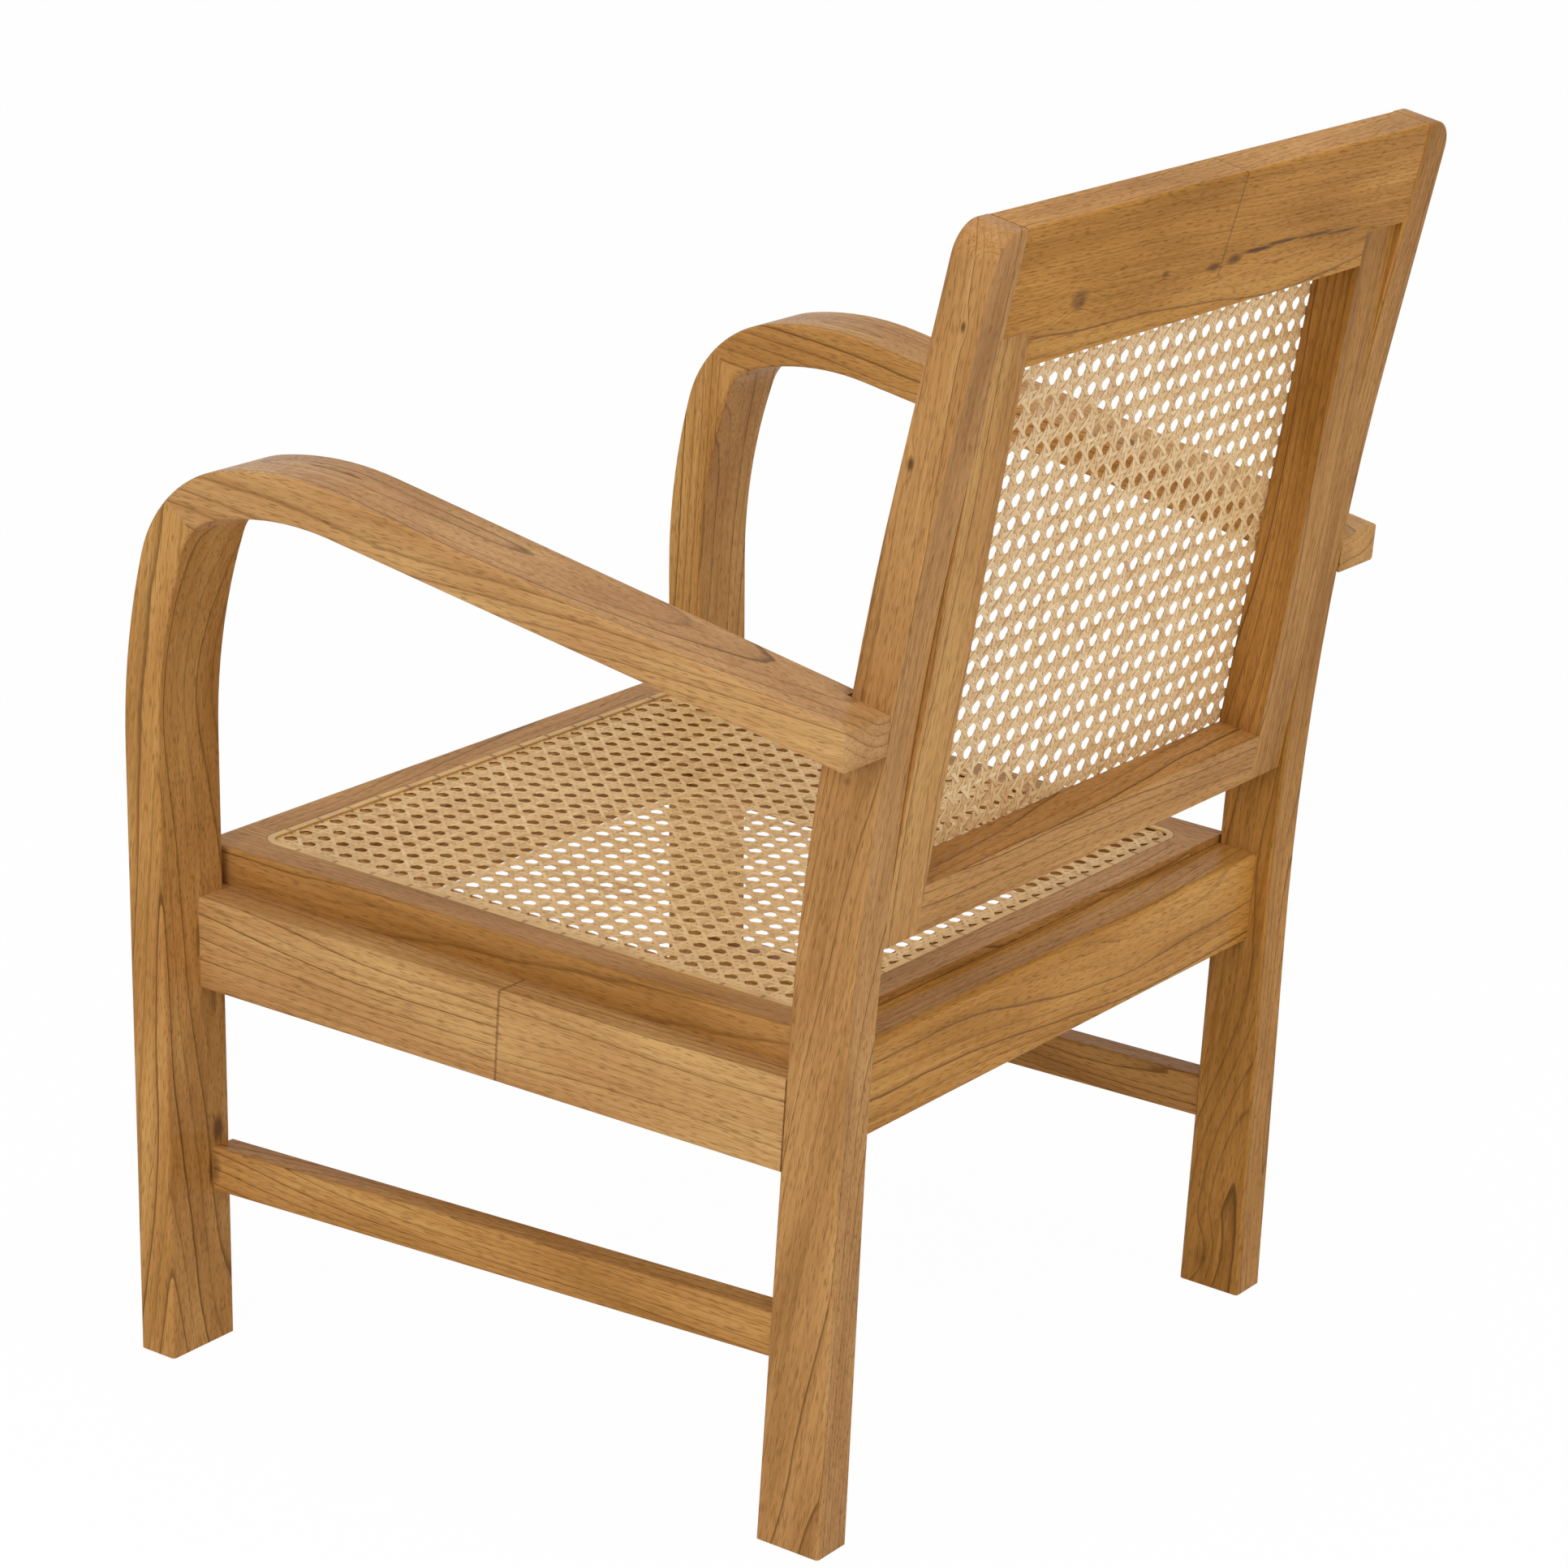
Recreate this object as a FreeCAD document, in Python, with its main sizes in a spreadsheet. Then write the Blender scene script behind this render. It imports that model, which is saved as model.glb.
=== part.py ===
import FreeCAD, Part
import Sketcher
import math
import os
import re

# A cane seated teak armchair. Lengths are in millimetres and angles in degrees.
# The profiles are drawn with the wood standing on height 0 and y 0 near the rear face of the back rail.
# Each body is then moved by frame_shift along y and by glide_height upward.

os.makedirs("parts", exist_ok=True)
doc = FreeCAD.newDocument("planters_chair")
sheet = doc.addObject("Spreadsheet::Sheet", "sizes")

SIZES = [
    # frame
    ("frame_shift", 235.8, "moves the chair so that y 0 is the middle of its depth"),
    ("glide_height", 3.0, "foot glide below the wood"),
    ("glide_diameter", 20.0, "foot glide"),
    ("screw_clearance", 0.2, "room round a screw, each side"),
    ("joint_clearance", 0.2, "room round a tenon in its mortise, each side"),
    # back posts
    ("post_outer_x", 300.0, "outer face of a back post"),
    ("post_width", 34.0, "back post across"),
    ("post_foot_rear_y", 27.8, "rear of the foot"),
    ("post_foot_front_y", -20.0, "front of the foot"),
    ("post_low_rake", 2.75, "rear face below the seat, from the vertical"),
    ("post_front_rake", 1.7, "front face below the seat, from the vertical"),
    ("post_straight_rear", 260.0, "height where the rear face starts to curve"),
    ("post_straight_front", 345.0, "height where the front face starts to curve"),
    ("post_high_rake", 8.6, "upper part, from the vertical"),
    ("post_rear_radius", 2245.0, "curve of the rear face"),
    ("post_front_radius", 1700.0, "curve of the front face between seat and arm"),
    ("post_high_depth", 31.0, "front to rear, above the arm"),
    ("post_top_rear_z", 872.5, "rear edge of the top"),
    ("post_corner_radius", 21.0, "rounded outer corner of the top"),
    ("post_edge_radius", 2.4, "long edges of a post"),
    # arms and front legs
    ("arm_outer_x", 351.0, "outer face of arm and front leg"),
    ("arm_width", 65.0, "arm and front leg across"),
    ("leg_foot_front_y", -489.5, "front of the foot"),
    ("leg_lean", 5.55, "front leg leans forward going up"),
    ("leg_straight", 421.0, "height where the front face starts to curve"),
    ("leg_bow_radius", 500.0, "front face between leg and bend"),
    ("leg_bow_end", 80.0, "direction where the bow meets the bend"),
    ("bend_radius", 87.0, "outer bend"),
    ("bend_end", 14.0, "direction where the bend meets the arm"),
    ("arm_crown_radius", 230.0, "top of the arm behind the bend"),
    ("arm_top_slope", 8.9, "top of the arm falls to the rear"),
    ("arm_under_slope", 8.2, "underside of the arm falls to the rear"),
    ("arm_thickness", 31.0, "where the crown meets the straight arm"),
    ("under_crown_radius", 197.0, "underside behind the bend"),
    ("under_bend_start", 20.0, "direction where the inner bend meets the arm"),
    ("under_bend_radius", 33.0, "inner bend"),
    ("under_bow_start", 75.0, "direction where the inner bend meets the leg"),
    ("under_bow_radius", 403.0, "rear face between inner bend and leg"),
    ("mitre_direction", 50.0, "direction of both bends at the mitre"),
    ("arm_edge_radius", 2.6, "long edges of arm and front leg"),
    ("foot_edge_radius", 1.6, "edges of the feet"),
    ("mitre_tenon_length", 34.0, "loose tenon across the mitre"),
    ("mitre_tenon_thickness", 9.0, "loose tenon across the mitre"),
    ("mitre_tenon_width", 42.0, "loose tenon across the arm"),
    # arm end at the post
    ("shoulder_step", 12.5, "the front of the post steps back under the arm"),
    ("arm_post_gap", 0.4, "room between the arm and the curved front of the post"),
    ("arm_screw_length", 52.0, "arm screw"),
    ("arm_screw_inset", 6.0, "plugged start of the arm screw inside the inner face of the post"),
    ("arm_screw_z", 555.0, "height of the arm screw"),
    ("arm_screw_y", -1.0, "arm screw from front to rear"),
    # side rails
    ("rail_rear_outer_x", 300.0, "outer face of a side rail at the post"),
    ("rail_front_outer_x", 313.0, "outer face of a side rail at the leg"),
    ("rail_width", 34.0, "side rail across"),
    ("rail_tenon_inset", 14.0, "middle of a side rail's tenon from its outer face"),
    ("rail_top_z", 316.0, "top of side and front rails"),
    ("rail_height", 63.0, "side and front rails"),
    ("rail_edge_radius", 2.2, "long edges of the rails"),
    ("tenon_thickness", 10.0, "rail tenons across"),
    ("tenon_depth", 18.0, "rail tenons into leg and post"),
    ("tenon_shoulder", 10.0, "shoulder above and below a rail tenon"),
    ("short_tenon", 11.0, "tenons of the cross rails into leg and post"),
    ("mortise_room", 1.0, "empty mortise past the end of a tenon"),
    # back and front rail
    ("back_rail_rear_y", 0.5, "rear face of the back rail"),
    ("back_rail_front_y", -30.2, "front face of the back rail"),
    ("back_rail_top_z", 335.6, "top of the back rail"),
    ("back_rail_bottom_z", 270.0, "underside of the back rail"),
    ("back_rail_round", 4.5, "rounded top rear edge"),
    ("front_rail_thickness", 24.0, "front rail front to rear"),
    ("front_rail_front_y", -516.2, "front face of the front rail"),
    ("tenon_height", 19.0, "rail tenons upright"),
    ("splay_front_y", -493.0, "front end of the splayed rails and stretchers"),
    ("splay_rear_y", -28.0, "rear end of the splayed rails and stretchers"),
    ("spare", 40.0, "cutting shapes reach past the wood"),
    ("shoulder_y", -11.5, "rear of the shoulder under the arm"),
    ("crest_tenon_drop", 34.0, "tenon of the crest rail below its top"),
    ("crest_tenon_height", 36.0, "tenon of the crest rail upright"),
    # side stretchers
    ("stretcher_rear_inner_x", 272.0, "inner face at the post"),
    ("stretcher_front_inner_x", 282.0, "inner face at the leg"),
    ("stretcher_width", 23.0, "side stretcher across"),
    ("stretcher_front_top_z", 138.0, "top at the leg"),
    ("stretcher_rear_top_z", 155.5, "top at the post"),
    ("stretcher_height", 31.0, "side stretcher"),
    ("stretcher_tenon_thickness", 9.0, "tenon across"),
    ("stretcher_tenon_shoulder", 6.0, "shoulder above and below the tenon"),
    # back panel
    ("panel_rake", 5.4, "back panel from the vertical"),
    ("panel_bottom_y", 9.1, "rear face of the panel at its lower edge"),
    ("panel_bottom_z", 403.0, "lower edge of the panel"),
    ("panel_height", 403.0, "back panel along its slope"),
    ("panel_depth", 32.0, "sub-frame front to rear"),
    ("panel_side_gap", 0.4, "between the stile and the post"),
    ("stile_width", 43.4, "stile"),
    ("panel_bottom_rail_height", 33.4, "lower member of the sub-frame"),
    ("panel_top_member_height", 26.5, "upper member of the sub-frame"),
    ("panel_edge_radius", 1.2, "small rounding of the sub-frame"),
    ("crest_inset", 0.8, "crest rail inside the faces of the posts"),
    ("cane_margin", 8.0, "cane lying on the sub-frame round the opening"),
    ("spline_width", 4.0, "spline in its groove"),
    ("spline_depth", 5.0, "spline in its groove"),
    ("spline_fit", 0.1, "room beside the spline"),
    ("cane_thickness", 1.6, "woven cane sheet"),
    # seat
    ("seat_top_z", 341.5, "top of the seat frame"),
    ("seat_thickness", 25.5, "seat frame"),
    ("seat_outer_x", 278.5, "side of the seat frame"),
    ("seat_front_y", -520.5, "front of the seat frame"),
    ("seat_rear_y", -31.0, "rear of the seat frame"),
    ("seat_side_width", 54.0, "side members"),
    ("seat_front_width", 52.0, "front member"),
    ("seat_back_width", 42.0, "rear member"),
    ("seat_cane_x", 249.0, "side edge of the seat cane"),
    ("seat_cane_front_y", -494.5, "front edge of the seat cane"),
    ("seat_cane_rear_y", -51.5, "rear edge of the seat cane"),
    ("seat_rebate_depth", 3.0, "cane bed below the top of the frame"),
    ("seat_corner_radius", 16.0, "corners of the cane bed"),
    ("seat_edge_radius", 4.5, "outer top edge of the seat frame"),
    ("binding_width", 5.0, "cane binder"),
    ("binding_thickness", 1.4, "cane binder"),
    ("bed_clearance", 0.4, "between the cane and the edge of its bed"),
    # cane gaps
    ("back_gap_size", 20.0, "gap of the back cane, across"),
    ("back_pitch_x", 42.0, "gaps of the back cane, sideways"),
    ("back_pitch_z", 42.0, "gaps of the back cane, upward"),
    ("seat_gap_size", 20.0, "gap of the seat cane, across"),
    ("seat_pitch_x", 40.0, "gaps of the seat cane, sideways"),
    ("seat_pitch_y", 43.0, "gaps of the seat cane, front to rear"),
    # corner blocks and screws
    ("block_leg", 52.0, "corner block along each rail"),
    ("block_nose", 14.0, "end of the corner block beside the rail"),
    ("block_height", 30.0, "corner block"),
    ("block_gap", 0.3, "glue line between block and rails"),
    ("screw_diameter", 4.0, "seat screw"),
    ("screw_head_diameter", 8.0, "seat screw"),
    ("screw_head_height", 3.0, "seat screw"),
    ("screw_bite", 16.0, "seat screw into the seat frame"),
    ("screw_inset_x", 260.0, "seat screws from the middle"),
    ("screw_front_y", -478.0, "front seat screws"),
    ("screw_rear_y", -46.0, "rear seat screws"),
]
NAMES = {}
for row, (name, value, words) in enumerate(SIZES, 1):
    sheet.set("A%d" % row, name)
    sheet.set("B%d" % row, repr(value))
    sheet.set("C%d" % row, words)
    sheet.setAlias("B%d" % row, name)
    NAMES[name] = value
doc.recompute()


def full(text):
    # adds the sheet name in front of each size
    def named(match):
        word = match.group(0)
        return "sizes." + word if word in NAMES else word

    return re.sub(r"[a-z][a-z0-9_]*", named, text)


def number(text):
    got = sheet.evalExpression(full(text))
    return float(getattr(got, "Value", got))


def new_body(label):
    body = doc.addObject("PartDesign::Body", label)
    body.Label = label
    body.setExpression("Placement.Base.y", full("frame_shift"))
    body.setExpression("Placement.Base.z", full("glide_height"))
    return body


def draw(body, plane, shift, corners):
    # corners: (across, up) or (across, up, radius, turn); the arc runs to the next corner,
    # with its centre on the left of the path for turn 1 and on the right for turn -1
    sketch = body.newObject("Sketcher::SketchObject", body.Name + "_sketch")
    support = [o for o in body.Origin.OriginFeatures if o.Role == plane][0]
    sketch.AttachmentSupport = [(support, "")]
    sketch.MapMode = "FlatFace"
    sketch.setExpression("AttachmentOffset.Base.z", full(shift))
    points = [(number(c[0]), number(c[1])) for c in corners]
    count = len(corners)
    ends = []
    for i, corner in enumerate(corners):
        p = FreeCAD.Vector(points[i][0], points[i][1], 0)
        q = FreeCAD.Vector(points[(i + 1) % count][0], points[(i + 1) % count][1], 0)
        if len(corner) == 2:
            sketch.addGeometry(Part.LineSegment(p, q), False)
            ends.append((1, 2))
            continue
        radius = number(corner[2])
        turn = corner[3]
        chord = q - p
        rise = math.sqrt(max(radius ** 2 - (chord.Length / 2) ** 2, 0.0))
        left = FreeCAD.Vector(-chord.y, chord.x, 0).normalize()
        middle = (p + q) * 0.5 + left * (rise * turn)
        start = math.atan2(p.y - middle.y, p.x - middle.x)
        stop = math.atan2(q.y - middle.y, q.x - middle.x)
        if turn < 0:
            start, stop = stop, start
        circle = Part.Circle(middle, FreeCAD.Vector(0, 0, 1), radius)
        if stop < start:
            stop += 2 * math.pi
        sketch.addGeometry(Part.ArcOfCircle(circle, start, stop), False)
        ends.append((1, 2) if turn > 0 else (2, 1))
        made = sketch.addConstraint(Sketcher.Constraint("Radius", i, radius))
        sketch.setExpression("Constraints[%d]" % made, full(corner[2]))
    for i in range(count):
        before = (i - 1) % count
        sketch.addConstraint(Sketcher.Constraint("Coincident", before, ends[before][1], i, ends[i][0]))
        made = sketch.addConstraint(Sketcher.Constraint("DistanceX", -1, 1, i, ends[i][0], points[i][0]))
        sketch.setExpression("Constraints[%d]" % made, full(corners[i][0]))
        made = sketch.addConstraint(Sketcher.Constraint("DistanceY", -1, 1, i, ends[i][0], points[i][1]))
        sketch.setExpression("Constraints[%d]" % made, full(corners[i][1]))
    return sketch


def pad(body, plane, shift, length, corners):
    feature = body.newObject("PartDesign::Pad", body.Name + "_pad")
    feature.Profile = draw(body, plane, shift, corners)
    feature.setExpression("Length", full(length))
    doc.recompute()
    return feature


def pocket(body, plane, shift, length, corners):
    # removes material from the sketch plane toward the side that its normal points to
    feature = body.newObject("PartDesign::Pocket", body.Name + "_pocket")
    feature.Profile = draw(body, plane, shift, corners)
    feature.setExpression("Length", full(length))
    feature.Reversed = True
    doc.recompute()
    return feature


def box(a0, a1, b0, b1):
    return [(a0, b0), (a1, b0), (a1, b1), (a0, b1)]


def soften(body, kind, size, pick):
    # rounds (Fillet) or bevels (Chamfer) the edges of the last shape for which pick(bounding box) holds
    names = [
        "Edge%d" % i
        for i, edge in enumerate(body.Tip.Shape.Edges, 1)
        if pick(edge.BoundBox)
    ]
    base = body.Tip
    feature = body.newObject("PartDesign::" + kind, body.Name + "_" + kind.lower())
    feature.Base = (base, names)
    feature.setExpression("Radius" if kind == "Fillet" else "Size", full(size))
    body.Tip = feature
    doc.recompute()


def eight_sided(x, y, size):
    # corners of a regular octagon, size across its flats
    far = size + " / 2"
    near = size + " / 2 * tan(22.5)"
    return [(x + a, y + b) for a, b in (
        (" + " + far, " - " + near), (" + " + far, " + " + near), (" + " + near, " + " + far),
        (" - " + near, " + " + far), (" - " + far, " + " + near), (" - " + far, " - " + near),
        (" - " + near, " - " + far), (" + " + near, " - " + far))]


def step(point, *terms):
    # the point moved by the given pairs of expressions
    across = " + ".join([point[0]] + ["(" + t[0] + ")" for t in terms])
    up = " + ".join([point[1]] + ["(" + t[1] + ")" for t in terms])
    return across, up


def turn_move(radius, first, last):
    # the move along a bend whose direction falls from the angle first to the angle last
    return (radius + " * (sin(" + first + ") - sin(" + last + "))",
            radius + " * (cos(" + last + ") - cos(" + first + "))")


def x_start(side, low, high):
    # start of a pad along x for the left side (plus x) or the right side (minus x)
    return low if side == "left" else "-(" + high + ")"


def flip(side, corners):
    # mirrors a plan outline for the right side
    if side == "left":
        return corners
    return [("-(" + c[0] + ")",) + tuple(c[1:]) for c in corners]


SCREW_SIDES = 8
SCREW_HOLE = "(screw_diameter + screw_clearance * 2)"
POST_IN = "post_outer_x - post_width"
LEG_IN = "arm_outer_x - arm_width"

# side view of a front leg and arm: outer line from the foot to the rear, then the inner line
FOOT = ("leg_foot_front_y", "0")
LEG_TOP = ("leg_foot_front_y - leg_straight * tan(leg_lean)", "leg_straight")
BOW = step(LEG_TOP, turn_move("leg_bow_radius", "90 + leg_lean", "leg_bow_end"))
MITRE = step(BOW, turn_move("bend_radius", "leg_bow_end", "mitre_direction"))
BEND = step(MITRE, turn_move("bend_radius", "mitre_direction", "bend_end"))
CROWN = step(BEND, turn_move("arm_crown_radius", "bend_end", "-arm_top_slope"))
UNDER = step(CROWN, ("-arm_thickness * sin(arm_top_slope)", "-arm_thickness * cos(arm_top_slope)"))


def back_step(point, move):
    return point[0] + " - (" + move[0] + ")", point[1] + " - (" + move[1] + ")"


IN_BEND = back_step(UNDER, turn_move("under_crown_radius", "under_bend_start", "-arm_under_slope"))
IN_MITRE = back_step(IN_BEND, turn_move("under_bend_radius", "mitre_direction", "under_bend_start"))
IN_BOW = back_step(IN_MITRE, turn_move("under_bend_radius", "under_bow_start", "mitre_direction"))
IN_LEG = back_step(IN_BOW, turn_move("under_bow_radius", "90 + leg_lean", "under_bow_start"))
IN_FOOT = (IN_LEG[0] + " + (" + IN_LEG[1] + ") * tan(leg_lean)", "0")


def leg_rear(z):
    return "(" + IN_FOOT[0] + " - (" + z + ") * tan(leg_lean))"


def post_front(z):
    return "(post_foot_front_y - (" + z + ") * tan(post_front_rake))"


# side view of a back post
REAR_LOW = ("post_foot_rear_y - post_straight_rear * tan(post_low_rake)", "post_straight_rear")
HUB = step(REAR_LOW, ("post_rear_radius * cos(post_low_rake)", "post_rear_radius * sin(post_low_rake)"))
REAR_HIGH = step(HUB, ("-post_rear_radius * cos(post_high_rake)", "post_rear_radius * sin(post_high_rake)"))
TOP_REAR = (REAR_HIGH[0] + " + (post_top_rear_z - (" + REAR_HIGH[1] + ")) * tan(post_high_rake)",
            "post_top_rear_z")
ACROSS = ("-post_high_depth * cos(post_high_rake)", "post_high_depth * sin(post_high_rake)")
TOP_FRONT = step(TOP_REAR, ACROSS)
FRONT_HIGH = step(REAR_HIGH, ACROSS)


def on_arc(radius, z):
    # forward face of the curved post at height z
    rise = "((" + z + ") - (" + HUB[1] + "))"
    return "(" + HUB[0] + " - sqrt((" + radius + ") * (" + radius + ") - " + rise + " * " + rise + "))"


ARM_END_Y = on_arc("post_rear_radius", "arm_screw_z")
SHOULDER_Z = "(" + UNDER[1] + " - (shoulder_y - (" + UNDER[0] + ")) * tan(arm_under_slope) - arm_post_gap)"
SHOULDER_Y = on_arc("post_rear_radius + post_high_depth", SHOULDER_Z)
LEDGE = (SHOULDER_Y + " - shoulder_step", SHOULDER_Z + " + shoulder_step * tan(arm_under_slope)")
FRONT_LOW = (post_front("post_straight_front"), "post_straight_front")

RAIL_LOW = "rail_top_z - rail_height"
SIDE_TENON_Z = ("rail_top_z - tenon_shoulder - tenon_height", "rail_top_z - tenon_shoulder")
CROSS_TENON_Z = (RAIL_LOW + " + tenon_shoulder", RAIL_LOW + " + tenon_shoulder + tenon_height")
MID_TENON_Z = "rail_top_z - tenon_shoulder - tenon_height / 2"
FR_REAR = "front_rail_front_y + front_rail_thickness"
FR_TENON = ("front_rail_front_y + (front_rail_thickness - tenon_thickness) / 2",
            "front_rail_front_y + (front_rail_thickness + tenon_thickness) / 2")
BACK_MID = "(back_rail_front_y + back_rail_rear_y) / 2"
BR_TENON = (BACK_MID + " - tenon_thickness / 2", BACK_MID + " + tenon_thickness / 2")
BR_TENON_Z = ("back_rail_bottom_z + tenon_shoulder", "back_rail_top_z - tenon_shoulder")


def splay(at_rear, at_front, y):
    # x of a splayed face at y
    return ("(" + at_rear + " + ((" + at_front + ") - (" + at_rear + ")) * (splay_rear_y - (" + y
            + ")) / (splay_rear_y - splay_front_y))")


MITRE_MID = ("((" + MITRE[0] + ") + (" + IN_MITRE[0] + ")) / 2",
             "((" + MITRE[1] + ") + (" + IN_MITRE[1] + ")) / 2")


def across_mitre(length, thickness):
    # side view of a loose tenon that crosses the mitre square to it
    corners = []
    for along, over in (("-", "-"), ("+", "-"), ("+", "+"), ("-", "+")):
        corners.append(step(
            MITRE_MID,
            (along + "(" + length + ") / 2 * cos(mitre_direction)",
             along + "(" + length + ") / 2 * sin(mitre_direction)"),
            (over + "(" + thickness + ") / 2 * sin(mitre_direction) * -1",
             over + "(" + thickness + ") / 2 * cos(mitre_direction)")))
    return corners


CREST_MID = step(TOP_REAR,
                 ("-crest_tenon_drop * sin(post_high_rake)", "-crest_tenon_drop * cos(post_high_rake)"),
                 ("-post_high_depth * cos(post_high_rake) / 2", "post_high_depth * sin(post_high_rake) / 2"))
CREST_TENON = box(CREST_MID[0] + " - tenon_thickness / 2", CREST_MID[0] + " + tenon_thickness / 2",
                  CREST_MID[1] + " - crest_tenon_height / 2", CREST_MID[1] + " + crest_tenon_height / 2")
CREST_HOLE = box(CREST_MID[0] + " - tenon_thickness / 2 - joint_clearance",
                 CREST_MID[0] + " + tenon_thickness / 2 + joint_clearance",
                 CREST_MID[1] + " - crest_tenon_height / 2 - joint_clearance",
                 CREST_MID[1] + " + crest_tenon_height / 2 + joint_clearance")


NEAR = 0.01
parts = {}


def bears_seat(b):
    # the top inner edge of a side rail carries the seat frame and stays square
    at_top = b.ZMin > number("rail_top_z") - NEAR
    return at_top and abs(b.Center.x) < number("rail_rear_outer_x") - number("rail_width") / 2


for side in ("left", "right"):
    sign = 1.0 if side == "left" else -1.0
    outer = sign * number("post_outer_x")
    inner = sign * number(POST_IN)

    # back post with its mortises
    post = new_body("back_post_" + side)
    pad(post, "YZ_Plane", x_start(side, POST_IN, "post_outer_x"), "post_width", [
        ("post_foot_rear_y", "0"),
        REAR_LOW + ("post_rear_radius", -1),
        REAR_HIGH,
        TOP_REAR,
        TOP_FRONT,
        FRONT_HIGH + ("post_rear_radius + post_high_depth", 1),
        (SHOULDER_Y, SHOULDER_Z),
        LEDGE + ("post_front_radius", 1),
        FRONT_LOW,
        ("post_foot_front_y", "0"),
    ])
    top = number("post_top_rear_z")
    across = number("post_width")
    soften(post, "Fillet", "post_corner_radius",
           lambda b: b.XLength < NEAR and abs(b.XMin - outer) < NEAR and b.ZMin > top - NEAR)
    soften(post, "Fillet", "post_edge_radius",
           lambda b: b.XLength < NEAR and abs(b.XMin - outer) < NEAR and b.ZLength > across)
    soften(post, "Chamfer", "foot_edge_radius",
           lambda b: b.XLength < NEAR and abs(b.XMin - inner) < NEAR and b.ZLength > across)
    tenon_x = "rail_rear_outer_x - rail_tenon_inset"
    pocket(post, "YZ_Plane",
           x_start(side, tenon_x + " - tenon_thickness / 2 - joint_clearance",
                   tenon_x + " + tenon_thickness / 2 + joint_clearance"),
           "tenon_thickness + joint_clearance * 2",
           box(post_front(MID_TENON_Z) + " - spare / 2",
               post_front(MID_TENON_Z) + " + tenon_depth + mortise_room",
               SIDE_TENON_Z[0] + " - joint_clearance", SIDE_TENON_Z[1] + " + joint_clearance"))
    tenon_x = "stretcher_rear_inner_x + stretcher_width / 2"
    rear_mid = "stretcher_rear_top_z - stretcher_height / 2"
    half = "stretcher_height / 2 - stretcher_tenon_shoulder"
    pocket(post, "YZ_Plane",
           x_start(side, tenon_x + " - stretcher_tenon_thickness / 2 - joint_clearance",
                   tenon_x + " + stretcher_tenon_thickness / 2 + joint_clearance"),
           "stretcher_tenon_thickness + joint_clearance * 2",
           box(post_front(rear_mid) + " - spare / 2", post_front(rear_mid) + " + tenon_depth + mortise_room",
               rear_mid + " - (" + half + ") - joint_clearance",
               rear_mid + " + " + half + " + joint_clearance"))
    depth = "short_tenon + mortise_room"
    pocket(post, "YZ_Plane", x_start(side, POST_IN, POST_IN + " + " + depth), depth,
           box(BR_TENON[0] + " - joint_clearance", BR_TENON[1] + " + joint_clearance",
               BR_TENON_Z[0] + " - joint_clearance", BR_TENON_Z[1] + " + joint_clearance"))
    pocket(post, "YZ_Plane", x_start(side, POST_IN, POST_IN + " + " + depth), depth, CREST_HOLE)
    screw_from = POST_IN + " + arm_screw_inset"
    screw_start = x_start(side, screw_from, screw_from + " + arm_screw_length + mortise_room")
    screw_hole = eight_sided("arm_screw_y", "arm_screw_z", SCREW_HOLE)
    pocket(post, "YZ_Plane", screw_start, "arm_screw_length + mortise_room", screw_hole)
    parts["back_post_" + side] = post

    # front leg up to the mitre
    leg = new_body("front_leg_" + side)
    pad(leg, "YZ_Plane", x_start(side, LEG_IN, "arm_outer_x"), "arm_width", [
        FOOT,
        LEG_TOP + ("leg_bow_radius", -1),
        BOW + ("bend_radius", -1),
        MITRE,
        IN_MITRE + ("under_bend_radius", 1),
        IN_BOW + ("under_bow_radius", 1),
        IN_LEG,
        IN_FOOT,
    ])
    long_edge = number("arm_width")
    soften(leg, "Fillet", "arm_edge_radius", lambda b: b.XLength < NEAR and b.ZLength > long_edge)
    tenon_x = "rail_front_outer_x - rail_tenon_inset"
    pocket(leg, "YZ_Plane",
           x_start(side, tenon_x + " - tenon_thickness / 2 - joint_clearance",
                   tenon_x + " + tenon_thickness / 2 + joint_clearance"),
           "tenon_thickness + joint_clearance * 2",
           box(leg_rear(MID_TENON_Z) + " - tenon_depth - mortise_room",
               leg_rear(MID_TENON_Z) + " + spare / 2",
               SIDE_TENON_Z[0] + " - joint_clearance", SIDE_TENON_Z[1] + " + joint_clearance"))
    tenon_x = "stretcher_front_inner_x + stretcher_width / 2"
    front_mid = "stretcher_front_top_z - stretcher_height / 2"
    pocket(leg, "YZ_Plane",
           x_start(side, tenon_x + " - stretcher_tenon_thickness / 2 - joint_clearance",
                   tenon_x + " + stretcher_tenon_thickness / 2 + joint_clearance"),
           "stretcher_tenon_thickness + joint_clearance * 2",
           box(leg_rear(front_mid) + " - tenon_depth - mortise_room", leg_rear(front_mid) + " + spare / 2",
               front_mid + " - (" + half + ") - joint_clearance",
               front_mid + " + " + half + " + joint_clearance"))
    pocket(leg, "YZ_Plane", x_start(side, LEG_IN, LEG_IN + " + " + depth), depth,
           box(FR_TENON[0] + " - joint_clearance", FR_TENON[1] + " + joint_clearance",
               CROSS_TENON_Z[0] + " - joint_clearance", CROSS_TENON_Z[1] + " + joint_clearance"))
    parts["front_leg_" + side] = leg

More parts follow.
